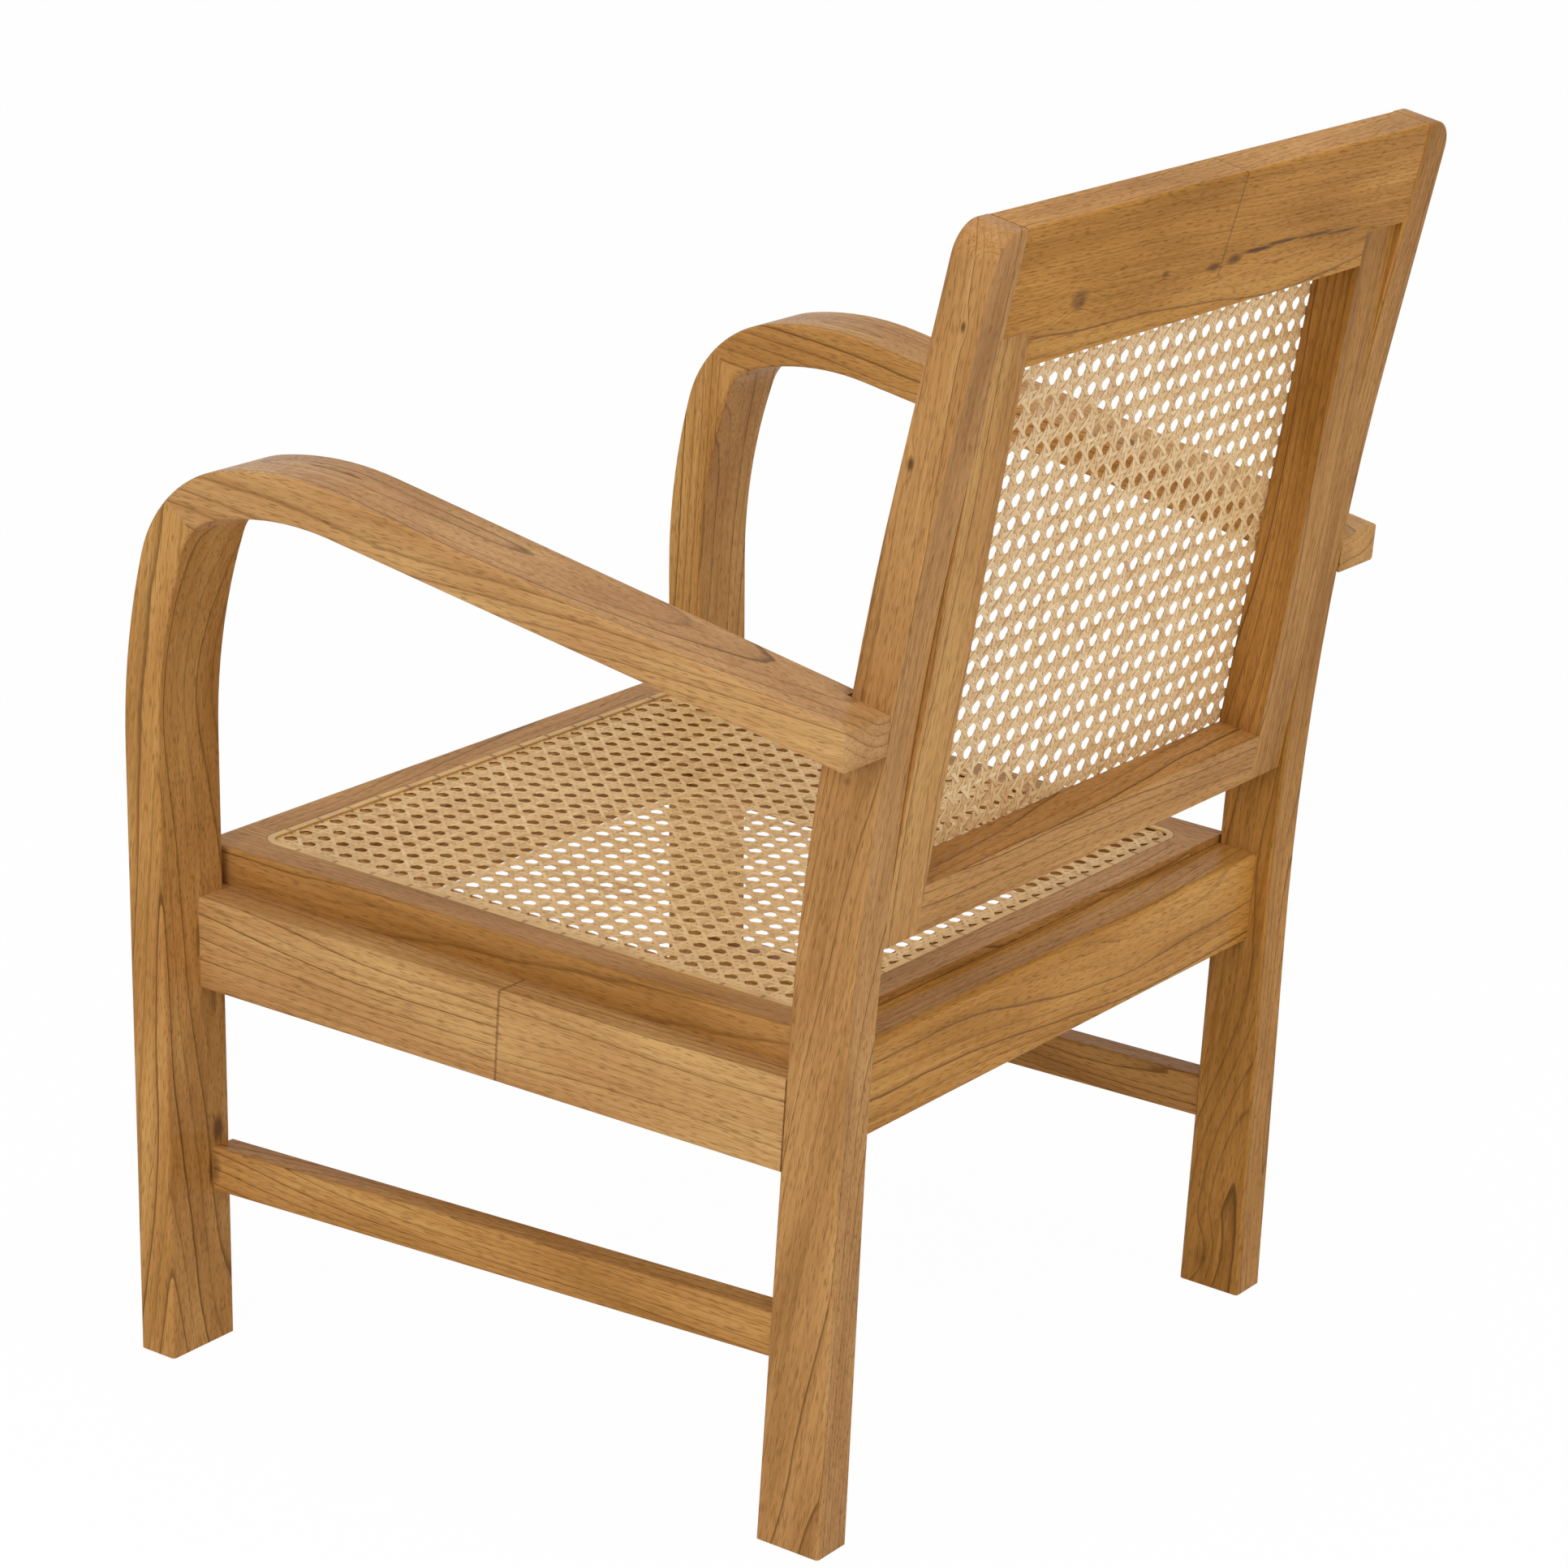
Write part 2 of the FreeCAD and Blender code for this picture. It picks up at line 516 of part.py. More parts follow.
    # arm, notched round the post
    arm = new_body("arm_" + side)
    pad(arm, "YZ_Plane", x_start(side, LEG_IN, "arm_outer_x"), "arm_width", [
        MITRE + ("bend_radius", -1),
        BEND + ("arm_crown_radius", -1),
        CROWN,
        (ARM_END_Y, CROWN[1] + " - (" + ARM_END_Y + " - (" + CROWN[0] + ")) * tan(arm_top_slope)"),
        (ARM_END_Y, UNDER[1] + " - (" + ARM_END_Y + " - (" + UNDER[0] + ")) * tan(arm_under_slope)"),
        UNDER + ("under_crown_radius", 1),
        IN_BEND + ("under_bend_radius", 1),
        IN_MITRE,
    ])
    soften(arm, "Fillet", "arm_edge_radius", lambda b: b.XLength < NEAR and b.YLength > long_edge)
    notch = SHOULDER_Y + " - arm_post_gap"
    pocket(arm, "YZ_Plane", x_start(side, LEG_IN + " - spare", "post_outer_x"),
           "post_outer_x - (" + LEG_IN + ") + spare",
           box(notch, ARM_END_Y + " + spare", SHOULDER_Z + " - spare", SHOULDER_Z + " + spare * 2"))
    pocket(arm, "YZ_Plane", screw_start, "arm_screw_length + mortise_room", screw_hole)
    arm_mid = "(arm_outer_x - arm_width / 2)"
    for body in (leg, arm):
        pocket(body, "YZ_Plane",
               x_start(side, arm_mid + " - mitre_tenon_width / 2 - joint_clearance",
                       arm_mid + " + mitre_tenon_width / 2 + joint_clearance"),
               "mitre_tenon_width + joint_clearance * 2",
               across_mitre("mitre_tenon_length + mortise_room * 2",
                            "mitre_tenon_thickness + joint_clearance * 2"))
    parts["arm_" + side] = arm

    # loose tenon glued across the mitre
    mitre_tenon = new_body("arm_mitre_tenon_" + side)
    pad(mitre_tenon, "YZ_Plane",
        x_start(side, arm_mid + " - mitre_tenon_width / 2", arm_mid + " + mitre_tenon_width / 2"),
        "mitre_tenon_width", across_mitre("mitre_tenon_length", "mitre_tenon_thickness"))
    parts["arm_mitre_tenon_" + side] = mitre_tenon

    # side rail and side stretcher: splayed outward toward the front
    def splayed(label, low, high, rear_in, front_in, width, z_rear, z_front,
                tenon, tenon_in, tenon_rear_z, tenon_front_z):
        body = new_body(label)
        rear_lo, rear_hi = z_rear
        front_lo, front_hi = z_front
        pad(body, "YZ_Plane", x_start(side, low, high), "(" + high + ") - (" + low + ")", [
            (leg_rear(front_lo), front_lo),
            (post_front(rear_lo), rear_lo),
            (post_front(rear_hi), rear_hi),
            (leg_rear(front_hi), front_hi),
        ])
        rear_y = "splay_rear_y + spare"
        front_y = "splay_front_y - spare"
        pocket(body, "XY_Plane", "0", "(" + high + ") * 2", flip(side, [
            (splay(rear_in, front_in, rear_y) + " + " + width, rear_y),
            (splay(rear_in, front_in, front_y) + " + " + width, front_y),
            ("(" + high + ") + spare", front_y),
            ("(" + high + ") + spare", rear_y),
        ]))
        pocket(body, "XY_Plane", "0", "(" + high + ") * 2", flip(side, [
            (splay(rear_in, front_in, rear_y), rear_y),
            (splay(rear_in, front_in, front_y), front_y),
            ("(" + low + ") - spare", front_y),
            ("(" + low + ") - spare", rear_y),
        ]))
        soften(body, "Fillet", "rail_edge_radius",
               lambda b: b.YLength > number("post_outer_x") and not bears_seat(b))
        for at, y, z, ahead in ((rear_in, post_front, tenon_rear_z, False),
                                (front_in, leg_rear, tenon_front_z, True)):
            middle = at + " + " + tenon_in
            mid_z = "(" + z[0] + " + " + z[1] + ") / 2"
            span = (y(mid_z) + " - tenon_depth", y(mid_z) + " + spare / 2")
            if not ahead:
                span = (y(mid_z) + " - spare / 2", y(mid_z) + " + tenon_depth")
            pad(body, "YZ_Plane",
                x_start(side, middle + " - " + tenon + " / 2", middle + " + " + tenon + " / 2"), tenon,
                box(span[0], span[1], z[0], z[1]))
        parts[label] = body

    splayed("side_rail_" + side, "rail_rear_outer_x - rail_width", "rail_front_outer_x",
            "rail_rear_outer_x - rail_width", "rail_front_outer_x - rail_width", "rail_width",
            (RAIL_LOW, "rail_top_z"), (RAIL_LOW, "rail_top_z"),
            "tenon_thickness", "rail_width - rail_tenon_inset", SIDE_TENON_Z, SIDE_TENON_Z)
    splayed("side_stretcher_" + side, "stretcher_rear_inner_x", "stretcher_front_inner_x + stretcher_width",
            "stretcher_rear_inner_x", "stretcher_front_inner_x", "stretcher_width",
            ("stretcher_rear_top_z - stretcher_height", "stretcher_rear_top_z"),
            ("stretcher_front_top_z - stretcher_height", "stretcher_front_top_z"),
            "stretcher_tenon_thickness", "stretcher_width / 2",
            (rear_mid + " - (" + half + ")", rear_mid + " + " + half),
            (front_mid + " - (" + half + ")", front_mid + " + " + half))

# rails across the seat
span_in = "(" + POST_IN + ")"
back_rail = new_body("back_rail")
pad(back_rail, "YZ_Plane", "-" + span_in, span_in + " * 2",
    box("back_rail_front_y", "back_rail_rear_y", "back_rail_bottom_z", "back_rail_top_z"))
half_span = number(POST_IN)
rail_top = number("back_rail_top_z")
rail_low = number("back_rail_bottom_z")
rear_face = number("back_rail_rear_y")
soften(back_rail, "Fillet", "back_rail_round",
       lambda b: b.XLength > half_span and b.ZMin > rail_top - NEAR and abs(b.YMin - rear_face) < NEAR)
soften(back_rail, "Fillet", "foot_edge_radius", lambda b: b.XLength > half_span and b.ZMax < rail_low + NEAR)
pad(back_rail, "YZ_Plane", "-(" + POST_IN + " + short_tenon)", "(" + POST_IN + " + short_tenon) * 2",
    box(BR_TENON[0], BR_TENON[1], BR_TENON_Z[0], BR_TENON_Z[1]))
parts["back_rail"] = back_rail

leg_in = "(" + LEG_IN + ")"
front_rail = new_body("front_rail")
pad(front_rail, "YZ_Plane", "-" + leg_in, leg_in + " * 2",
    box("front_rail_front_y", FR_REAR, RAIL_LOW, "rail_top_z"))
front_low = number(RAIL_LOW)
soften(front_rail, "Fillet", "foot_edge_radius",
       lambda b: b.XLength > half_span and b.ZMax < front_low + NEAR)
pad(front_rail, "YZ_Plane", "-(" + LEG_IN + " + short_tenon)", "(" + LEG_IN + " + short_tenon) * 2",
    box(FR_TENON[0], FR_TENON[1], CROSS_TENON_Z[0], CROSS_TENON_Z[1]))
parts["front_rail"] = front_rail

# crest rail between the posts, its lower face lying on the top of the back panel
CREST_REAR = step(TOP_REAR, ("-crest_inset * cos(post_high_rake)", "crest_inset * sin(post_high_rake)"))
deep = "(post_high_depth - crest_inset)"
CREST_FRONT = step(TOP_REAR, ("-" + deep + " * cos(post_high_rake)", deep + " * sin(post_high_rake)"))
PANEL_TOP = ("(panel_bottom_y + panel_height * sin(panel_rake))",
             "(panel_bottom_z + panel_height * cos(panel_rake))")


def crest_foot(top_point):
    slope = "tan(post_high_rake)"
    cut = "tan(panel_rake)"
    z = ("((" + PANEL_TOP[1] + " - ((" + top_point[0] + ") - (" + top_point[1] + ") * " + slope + " - "
         + PANEL_TOP[0] + ") * " + cut + ") / (1 + " + slope + " * " + cut + "))")
    return top_point[0] + " - ((" + top_point[1] + ") - " + z + ") * " + slope, z


crest = new_body("crest_rail")
pad(crest, "YZ_Plane", "-" + span_in, span_in + " * 2",
    [crest_foot(CREST_REAR), CREST_REAR, CREST_FRONT, crest_foot(CREST_FRONT)])
crest_top = number("post_top_rear_z")
soften(crest, "Fillet", "post_edge_radius", lambda b: b.XLength > half_span and b.ZMin > crest_top - NEAR)
pad(crest, "YZ_Plane", "-(" + POST_IN + " + short_tenon)", "(" + POST_IN + " + short_tenon) * 2", CREST_TENON)
parts["crest_rail"] = crest


def panel_body(label):
    # drawn upright with its rear face on y 0 and its lower edge on z 0, then leaned back
    body = doc.addObject("PartDesign::Body", label)
    body.Label = label
    turned = FreeCAD.Rotation(FreeCAD.Vector(1, 0, 0), -number("panel_rake"))
    body.Placement = FreeCAD.Placement(FreeCAD.Vector(0, 0, 0), turned)
    body.setExpression("Placement.Base.y", full("panel_bottom_y + frame_shift"))
    body.setExpression("Placement.Base.z", full("panel_bottom_z + glide_height"))
    return body


OPEN_X = POST_IN + " - panel_side_gap - stile_width"
OPEN_LOW = "panel_bottom_rail_height"
OPEN_HIGH = "(panel_height - panel_top_member_height)"
groove_out = "cane_margin + spline_width"
for side in ("left", "right"):
    stile = panel_body("back_stile_" + side)
    pad(stile, "XZ_Plane", "0", "panel_depth",
        flip(side, box(OPEN_X, POST_IN + " - panel_side_gap", "0", "panel_height")))
    face = "panel_depth - spline_depth"
    for a, b, c, d in (
            (OPEN_X + " + cane_margin", OPEN_X + " + " + groove_out,
             OPEN_LOW + " - (" + groove_out + ")", OPEN_HIGH + " + " + groove_out),
            (OPEN_X, OPEN_X + " + cane_margin",
             OPEN_LOW + " - (" + groove_out + ")", OPEN_LOW + " - cane_margin"),
            (OPEN_X, OPEN_X + " + cane_margin",
             OPEN_HIGH + " + cane_margin", OPEN_HIGH + " + " + groove_out)):
        pocket(stile, "XZ_Plane", face, "spline_depth", flip(side, box(a, b, c, d)))
    parts["back_stile_" + side] = stile

wide = "(" + OPEN_X + ")"
for label, low, high, groove in (
        ("back_panel_bottom_rail", "0", OPEN_LOW,
         (OPEN_LOW + " - (" + groove_out + ")", OPEN_LOW + " - cane_margin")),
        ("back_panel_top_member", OPEN_HIGH, "panel_height",
         (OPEN_HIGH + " + cane_margin", OPEN_HIGH + " + " + groove_out))):
    member = panel_body(label)
    pad(member, "XZ_Plane", "0", "panel_depth", box("-" + wide, wide, low, high))
    pocket(member, "XZ_Plane", "panel_depth - spline_depth", "spline_depth",
           box("-" + wide, wide, groove[0], groove[1]))
    parts[label] = member

# spline ring in the groove of the sub-frame
spline = panel_body("back_cane_spline")
ring_out = "(" + OPEN_X + " + " + groove_out + " - spline_fit)"
ring_in = "(" + OPEN_X + " + cane_margin + spline_fit)"
pad(spline, "XZ_Plane", "panel_depth - spline_depth + spline_fit", "spline_depth - spline_fit",
    box("-" + ring_out, ring_out, OPEN_LOW + " - (" + groove_out + ") + spline_fit",
        OPEN_HIGH + " + " + groove_out + " - spline_fit"))
pocket(spline, "XZ_Plane", "panel_depth - spline_depth", "spline_depth",
       box("-" + ring_in, ring_in, OPEN_LOW + " - cane_margin - spline_fit",
           OPEN_HIGH + " + cane_margin + spline_fit"))
parts["back_cane_spline"] = spline


def net(body, plane, shift, length, x, y, size, pitch_x, pitch_y, count_x, count_y):
    # one gap, repeated in rows and columns
    gap = pocket(body, plane, shift, length,
                 box(x + " - " + size + " / 2", x + " + " + size + " / 2", y + " - " + size + " / 2",
                     y + " + " + size + " / 2"))
    grid = body.newObject("PartDesign::MultiTransform", body.Name + "_grid")
    grid.Originals = [gap]
    rows = []
    for axis, pitch, count in (("H_Axis", pitch_x, count_x), ("V_Axis", pitch_y, count_y)):
        line = body.newObject("PartDesign::LinearPattern", body.Name + "_line")
        line.Direction = (gap.Profile[0], [axis])
        line.Occurrences = count
        line.setExpression("Length", full(pitch + " * %d" % (count - 1)))
        rows.append(line)
    grid.Transformations = rows
    body.Tip = grid
    doc.recompute()


BACK_COLUMNS = 10
BACK_ROWS = 8
back_cane = panel_body("back_cane_panel")
sheet_x = "(" + OPEN_X + " + cane_margin)"
pad(back_cane, "XZ_Plane", "panel_depth", "cane_thickness",
    box("-" + sheet_x, sheet_x, OPEN_LOW + " - cane_margin", OPEN_HIGH + " + cane_margin"))
net(back_cane, "XZ_Plane", "panel_depth", "cane_thickness", "-back_pitch_x * %d / 2" % (BACK_COLUMNS - 1),
    "(" + OPEN_LOW + " + " + OPEN_HIGH + ") / 2 - back_pitch_z * %d / 2" % (BACK_ROWS - 1),
    "back_gap_size", "back_pitch_x", "back_pitch_z", BACK_COLUMNS, BACK_ROWS)
parts["back_cane_panel"] = back_cane


def rounded(x, front, rear, radius):
    # plan outline with round corners, anticlockwise from the front right end of the front edge
    return [
        ("-(" + x + ") + " + radius, front),
        (x + " - (" + radius + ")", front, radius, 1),
        (x, front + " + " + radius),
        (x, rear + " - (" + radius + ")", radius, 1),
        (x + " - (" + radius + ")", rear),
        ("-(" + x + ") + " + radius, rear, radius, 1),
        ("-(" + x + ")", rear + " - (" + radius + ")"),
        ("-(" + x + ")", front + " + " + radius, radius, 1),
    ]


BED = rounded("seat_cane_x", "seat_cane_front_y", "seat_cane_rear_y", "seat_corner_radius")
SEAT_LOW = "seat_top_z - seat_thickness"
inner_x = "seat_outer_x - seat_side_width"
front_in = "seat_front_y + seat_front_width"
back_in = "seat_rear_y - seat_back_width"
for label, a, b, c, d in (
        ("seat_frame_left", inner_x, "seat_outer_x", "seat_front_y", "seat_rear_y"),
        ("seat_frame_right", "-(seat_outer_x)", "-(" + inner_x + ")", "seat_front_y", "seat_rear_y"),
        ("seat_frame_front", "-(" + inner_x + ")", inner_x, "seat_front_y", front_in),
        ("seat_frame_back", "-(" + inner_x + ")", inner_x, back_in, "seat_rear_y")):
    member = new_body(label)
    pad(member, "XY_Plane", SEAT_LOW, "seat_thickness", box(a, b, c, d))
    top = number("seat_top_z")
    side_x = number("seat_outer_x")
    front_y = number("seat_front_y")
    if label != "seat_frame_back":
        soften(member, "Fillet", "seat_edge_radius", lambda b: b.ZMin > top - NEAR and (
            (b.XLength < NEAR and abs(abs(b.XMin) - side_x) < NEAR)
            or (b.YLength < NEAR and abs(b.YMin - front_y) < NEAR)))
    pocket(member, "XY_Plane", "seat_top_z - seat_rebate_depth", "seat_rebate_depth", BED)
    if label in ("seat_frame_left", "seat_frame_right"):
        screw_x = "screw_inset_x" if label == "seat_frame_left" else "-screw_inset_x"
        for y in ("screw_front_y", "screw_rear_y"):
            pocket(member, "XY_Plane", SEAT_LOW, "screw_bite + mortise_room",
                   eight_sided(screw_x, y, SCREW_HOLE))
    parts[label] = member

SEAT_COLUMNS = 11
SEAT_ROWS = 9
seat_cane = new_body("seat_cane_panel")
bed = "bed_clearance"
pad(seat_cane, "XY_Plane", "seat_top_z - seat_rebate_depth", "cane_thickness",
    rounded("seat_cane_x - " + bed, "seat_cane_front_y + " + bed, "seat_cane_rear_y - " + bed,
            "(seat_corner_radius - " + bed + ")"))
net(seat_cane, "XY_Plane", "seat_top_z - seat_rebate_depth", "cane_thickness",
    "-seat_pitch_x * %d / 2" % (SEAT_COLUMNS - 1),
    "(" + front_in + " + " + back_in + ") / 2 - seat_pitch_y * %d / 2" % (SEAT_ROWS - 1),
    "seat_gap_size", "seat_pitch_x", "seat_pitch_y", SEAT_COLUMNS, SEAT_ROWS)
parts["seat_cane_panel"] = seat_cane

binding = new_body("seat_cane_binding")
on_cane = "seat_top_z - seat_rebate_depth + cane_thickness"
pad(binding, "XY_Plane", on_cane, "binding_thickness",
    rounded("seat_cane_x - " + bed, "seat_cane_front_y + " + bed, "seat_cane_rear_y - " + bed,
            "(seat_corner_radius - " + bed + ")"))
pocket(binding, "XY_Plane", on_cane, "binding_thickness",
       rounded("seat_cane_x - " + bed + " - binding_width", "seat_cane_front_y + " + bed + " + binding_width",
               "seat_cane_rear_y - " + bed + " - binding_width",
               "(seat_corner_radius - " + bed + " - binding_width)"))
parts["seat_cane_binding"] = binding


def solid(kind, label, values, x, y, z, axis=(0, 0, 1), angle="0"):
    # a simple solid at a place of the chair
    made = doc.addObject("Part::" + kind, label)
    made.Label = label
    if kind == "Prism":
        made.Polygon = SCREW_SIDES
    for key, text in values.items():
        made.setExpression(key, full(text))
    turn = FreeCAD.Rotation(FreeCAD.Vector(*axis), number(angle))
    made.Placement = FreeCAD.Placement(FreeCAD.Vector(0, 0, 0), turn)
    made.setExpression("Placement.Base.x", full(x))
    made.setExpression("Placement.Base.y", full(y + " + frame_shift"))
    made.setExpression("Placement.Base.z", full(z + " + glide_height"))
    return made


# corner blocks with their screws up into the seat frame
rail_in = ("rail_rear_outer_x - rail_width", "rail_front_outer_x - rail_width")
screws = []
for end in ("front", "rear"):
    for side in ("left", "right"):
        label = "corner_block_" + end + "_" + side
        block = new_body(label)
        if end == "front":
            wall = "(" + FR_REAR + " + block_gap)"
            far = wall + " + block_leg"
            near = wall + " + block_nose"
        else:
            wall = "(back_rail_front_y - block_gap)"
            far = wall + " - block_leg"
            near = wall + " - block_nose"
        first = splay(rail_in[0], rail_in[1], wall) + " - block_gap"
        pad(block, "XY_Plane", "rail_top_z - block_height", "block_height", flip(side, [
            (first, wall),
            (splay(rail_in[0], rail_in[1], far) + " - block_gap", far),
            (first + " - block_nose", far),
            (first + " - block_leg", near),
            (first + " - block_leg", wall),
        ]))
        x = x_start(side, "screw_inset_x", "screw_inset_x")
        y = "screw_front_y" if end == "front" else "screw_rear_y"
        pocket(block, "XY_Plane", "rail_top_z - block_height", "block_height", eight_sided(x, y, SCREW_HOLE))
        parts[label] = block
        shaft = solid("Prism", "seat_screw_shaft",
                      {"Circumradius": "screw_diameter / 2", "Height": "block_height + screw_bite"},
                      x, y, "rail_top_z - block_height")
        head = solid("Prism", "seat_screw_head",
                     {"Circumradius": "screw_head_diameter / 2", "Height": "screw_head_height"},
                     x, y, "rail_top_z - block_height - screw_head_height")
        screw = doc.addObject("Part::MultiFuse", "seat_screw")
        screw.Shapes = [shaft, head]
        screws.append(screw)

arm_screws = []
for side in ("left", "right"):
    arm_screws.append(solid("Prism", "arm_screw",
                            {"Circumradius": "screw_diameter / 2", "Height": "arm_screw_length"},
                            x_start(side, screw_from, screw_from + " + arm_screw_length"),
                            "arm_screw_y", "arm_screw_z", (0, 1, 0), "90"))
    for foot, x, y in (
            ("front", "arm_outer_x - arm_width / 2", "(" + FOOT[0] + " + " + IN_FOOT[0] + ") / 2"),
            ("rear", "post_outer_x - post_width / 2", "(post_foot_front_y + post_foot_rear_y) / 2")):
        label = "foot_glide_" + foot + "_" + side
        parts[label] = solid("Cylinder", label, {"Radius": "glide_diameter / 2", "Height": "glide_height"},
                             x_start(side, x, x), y, "-glide_height")

for label, members in (("seat_screws", screws), ("arm_screws", arm_screws)):
    group = doc.addObject("Part::Compound", label)
    group.Label = label
    group.Links = members
    parts[label] = group

doc.recompute()

for item in doc.Objects:
    if "Invalid" in item.State or "Error" in item.State:
        raise RuntimeError("bad feature " + item.Name)
for label, item in sorted(parts.items()):
    shape = item.Shape
    if shape.isNull() or not shape.isValid():
        raise RuntimeError("bad shape " + label)
    shape.exportStep("parts/" + label + ".step")
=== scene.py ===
# %% [markdown]
# # A low armchair in teak and woven cane
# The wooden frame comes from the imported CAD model. Blender adds what a solid modeller can't:
# the open six-way weave of the cane, the figure of the teak, and the light of a photo studio.

# %% Load the wooden frame
import math
import bmesh
import bpy
from mathutils import Euler, Matrix, Vector


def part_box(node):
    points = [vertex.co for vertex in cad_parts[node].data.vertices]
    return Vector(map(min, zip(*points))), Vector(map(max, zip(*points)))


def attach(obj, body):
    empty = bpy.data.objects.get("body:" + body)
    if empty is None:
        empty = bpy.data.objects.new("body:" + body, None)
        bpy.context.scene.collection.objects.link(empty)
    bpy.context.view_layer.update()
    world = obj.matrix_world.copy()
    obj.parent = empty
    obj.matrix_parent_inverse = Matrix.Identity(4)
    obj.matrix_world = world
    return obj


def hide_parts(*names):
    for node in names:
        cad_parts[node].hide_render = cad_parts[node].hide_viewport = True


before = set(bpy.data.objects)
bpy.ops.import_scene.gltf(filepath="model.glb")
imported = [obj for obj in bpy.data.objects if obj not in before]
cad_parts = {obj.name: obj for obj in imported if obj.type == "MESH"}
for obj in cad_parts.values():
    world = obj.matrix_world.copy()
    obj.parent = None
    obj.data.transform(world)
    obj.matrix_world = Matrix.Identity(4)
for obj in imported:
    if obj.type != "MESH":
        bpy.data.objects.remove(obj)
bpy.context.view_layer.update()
scene = bpy.context.scene

# %% [markdown]
# ## The camera
# The photograph was taken from behind and to the sitter's left, from a little above, with a long
# lens and a slightly tilted camera. The place and the three angles were worked out from the edges
# of the chair, so they are written here as plain numbers. A turning matrix is built from them,
# because a tracking constraint couldn't hold the tilt.

# %% Camera
PHOTO_PIXELS = 1932
FOCAL_PIXELS = 6340.9
SENSOR_WIDTH = 36
SIGHT_LIMIT = 60
CAMERA_PLACE = Vector((2.8667, 1.7588, 1.5073))
YAW, PITCH, ROLL = (math.radians(angle) for angle in (-148.4913, -18.3418, 5.2344))

ahead = Vector((math.cos(YAW) * math.cos(PITCH), math.sin(YAW) * math.cos(PITCH), math.sin(PITCH)))
level = Vector((math.sin(YAW), -math.cos(YAW), 0))
upright = level.cross(ahead)
across = math.cos(ROLL) * level + math.sin(ROLL) * upright
above = -math.sin(ROLL) * level + math.cos(ROLL) * upright

camera_data = bpy.data.cameras.new("photo_camera")
camera_data.sensor_fit = "HORIZONTAL"
camera_data.sensor_width = SENSOR_WIDTH
camera_data.lens = SENSOR_WIDTH * FOCAL_PIXELS / PHOTO_PIXELS
camera_data.clip_end = SIGHT_LIMIT
camera = bpy.data.objects.new("photo_camera", camera_data)
scene.collection.objects.link(camera)
turn = Matrix((across, above, -ahead)).transposed()
camera.matrix_world = Matrix.Translation(CAMERA_PLACE) @ turn.to_4x4()
scene.camera = camera
print("lens", round(camera_data.lens, 2), "mm")

# %% [markdown]
# ## Nodes and colours
# Every finish below is a small tree of shader nodes. One function adds any node, sets it up and
# links it, so that each tree reads as a list of steps. Colours are given as the hex codes that a
# paint program shows, and one function turns them to the linear values of the shader.

# %% Helpers for finishes
def linear(code):
    """Turn a hex colour such as #B0804A to linear red, green, blue and alpha."""
    parts = (int(code[i:i + 2], 16) / 255 for i in (1, 3, 5))
    return (*(v / 12.92 if v <= 0.04045 else ((v + 0.055) / 1.055) ** 2.4 for v in parts), 1)


def add(tree, kind, inputs=None, stops=None, **settings):
    """Add a shader node. Inputs go by name or number, and a node given as an input is linked."""
    node = tree.nodes.new("ShaderNode" + kind)
    for name, value in settings.items():
        setattr(node, name, value)
    for key, value in (inputs or {}).items():
        usable = [socket for socket in node.inputs if socket.enabled]
        socket = usable[key] if isinstance(key, int) else next(s for s in usable if s.name == key)
        if isinstance(value, bpy.types.Node):
            value = next(s for s in value.outputs if s.enabled)
        if isinstance(value, bpy.types.NodeSocket):
            tree.links.new(value, socket)
        else:
            socket.default_value = value
    if stops:
        ramp = node.color_ramp.elements
        while len(ramp) < len(stops):
            ramp.new(1)
        for element, (place, shade) in zip(ramp, stops):
            element.position = place
            element.color = linear(shade) if isinstance(shade, str) else (shade, shade, shade, 1)
    return node


def new_finish(name):
    """Make an empty material and return it with its node tree."""
    finish = bpy.data.materials.new(name)
    finish.use_nodes = True
    finish.node_tree.nodes.clear()
    return finish, finish.node_tree


def give(finish, nodes):
    """Put a finish on CAD nodes."""
    for node in nodes:
        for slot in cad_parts[node].material_slots:
            slot.material = finish
    print(finish.name, "on", ", ".join(nodes))


# %% [markdown]
# ## The studio
# The photograph is a catalogue picture: white ground, white background and large soft lamps. The
# world is white where the camera or a reflection looks at it, and only lights the chair at about
# half of that, so the wood keeps its colour.

# %% World
AMBIENT = 0.45


def seen_directly(tree):
    """Give 1 where the camera looks, also by a reflection or through glass, and 0 for other light."""
    ray = add(tree, "LightPath")
    seen = add(tree, "Math", {0: ray.outputs["Is Camera Ray"], 1: ray.outputs["Is Glossy Ray"]},
               operation="MAXIMUM")
    return add(tree, "Math", {0: seen, 1: ray.outputs["Is Transmission Ray"]}, operation="MAXIMUM")


world = bpy.data.worlds.new("white_studio")
scene.world = world
world.use_nodes = True
sky = world.node_tree
sky.nodes.clear()
ambient = add(sky, "Background", {"Color": linear("#FFFFFF"), "Strength": AMBIENT})
backdrop = add(sky, "Background", {"Color": linear("#FFFFFF"), "Strength": 1})
sky_mix = add(sky, "MixShader", {0: seen_directly(sky), 1: ambient, 2: backdrop})
add(sky, "OutputWorld", {"Surface": sky_mix})
scene.view_settings.view_transform = "Standard"
print("ambient light", AMBIENT)

# %% [markdown]
# ## The floor
# The chair stands on a wide roll of white paper. The paper glows for the camera, in nearly the
# white of the background, so no edge shows. For the lamps it is a matt surface that takes the
# soft shadow.

# %% Floor
FLOOR_SIDE = 24
FLOOR_GLOW = 0.98

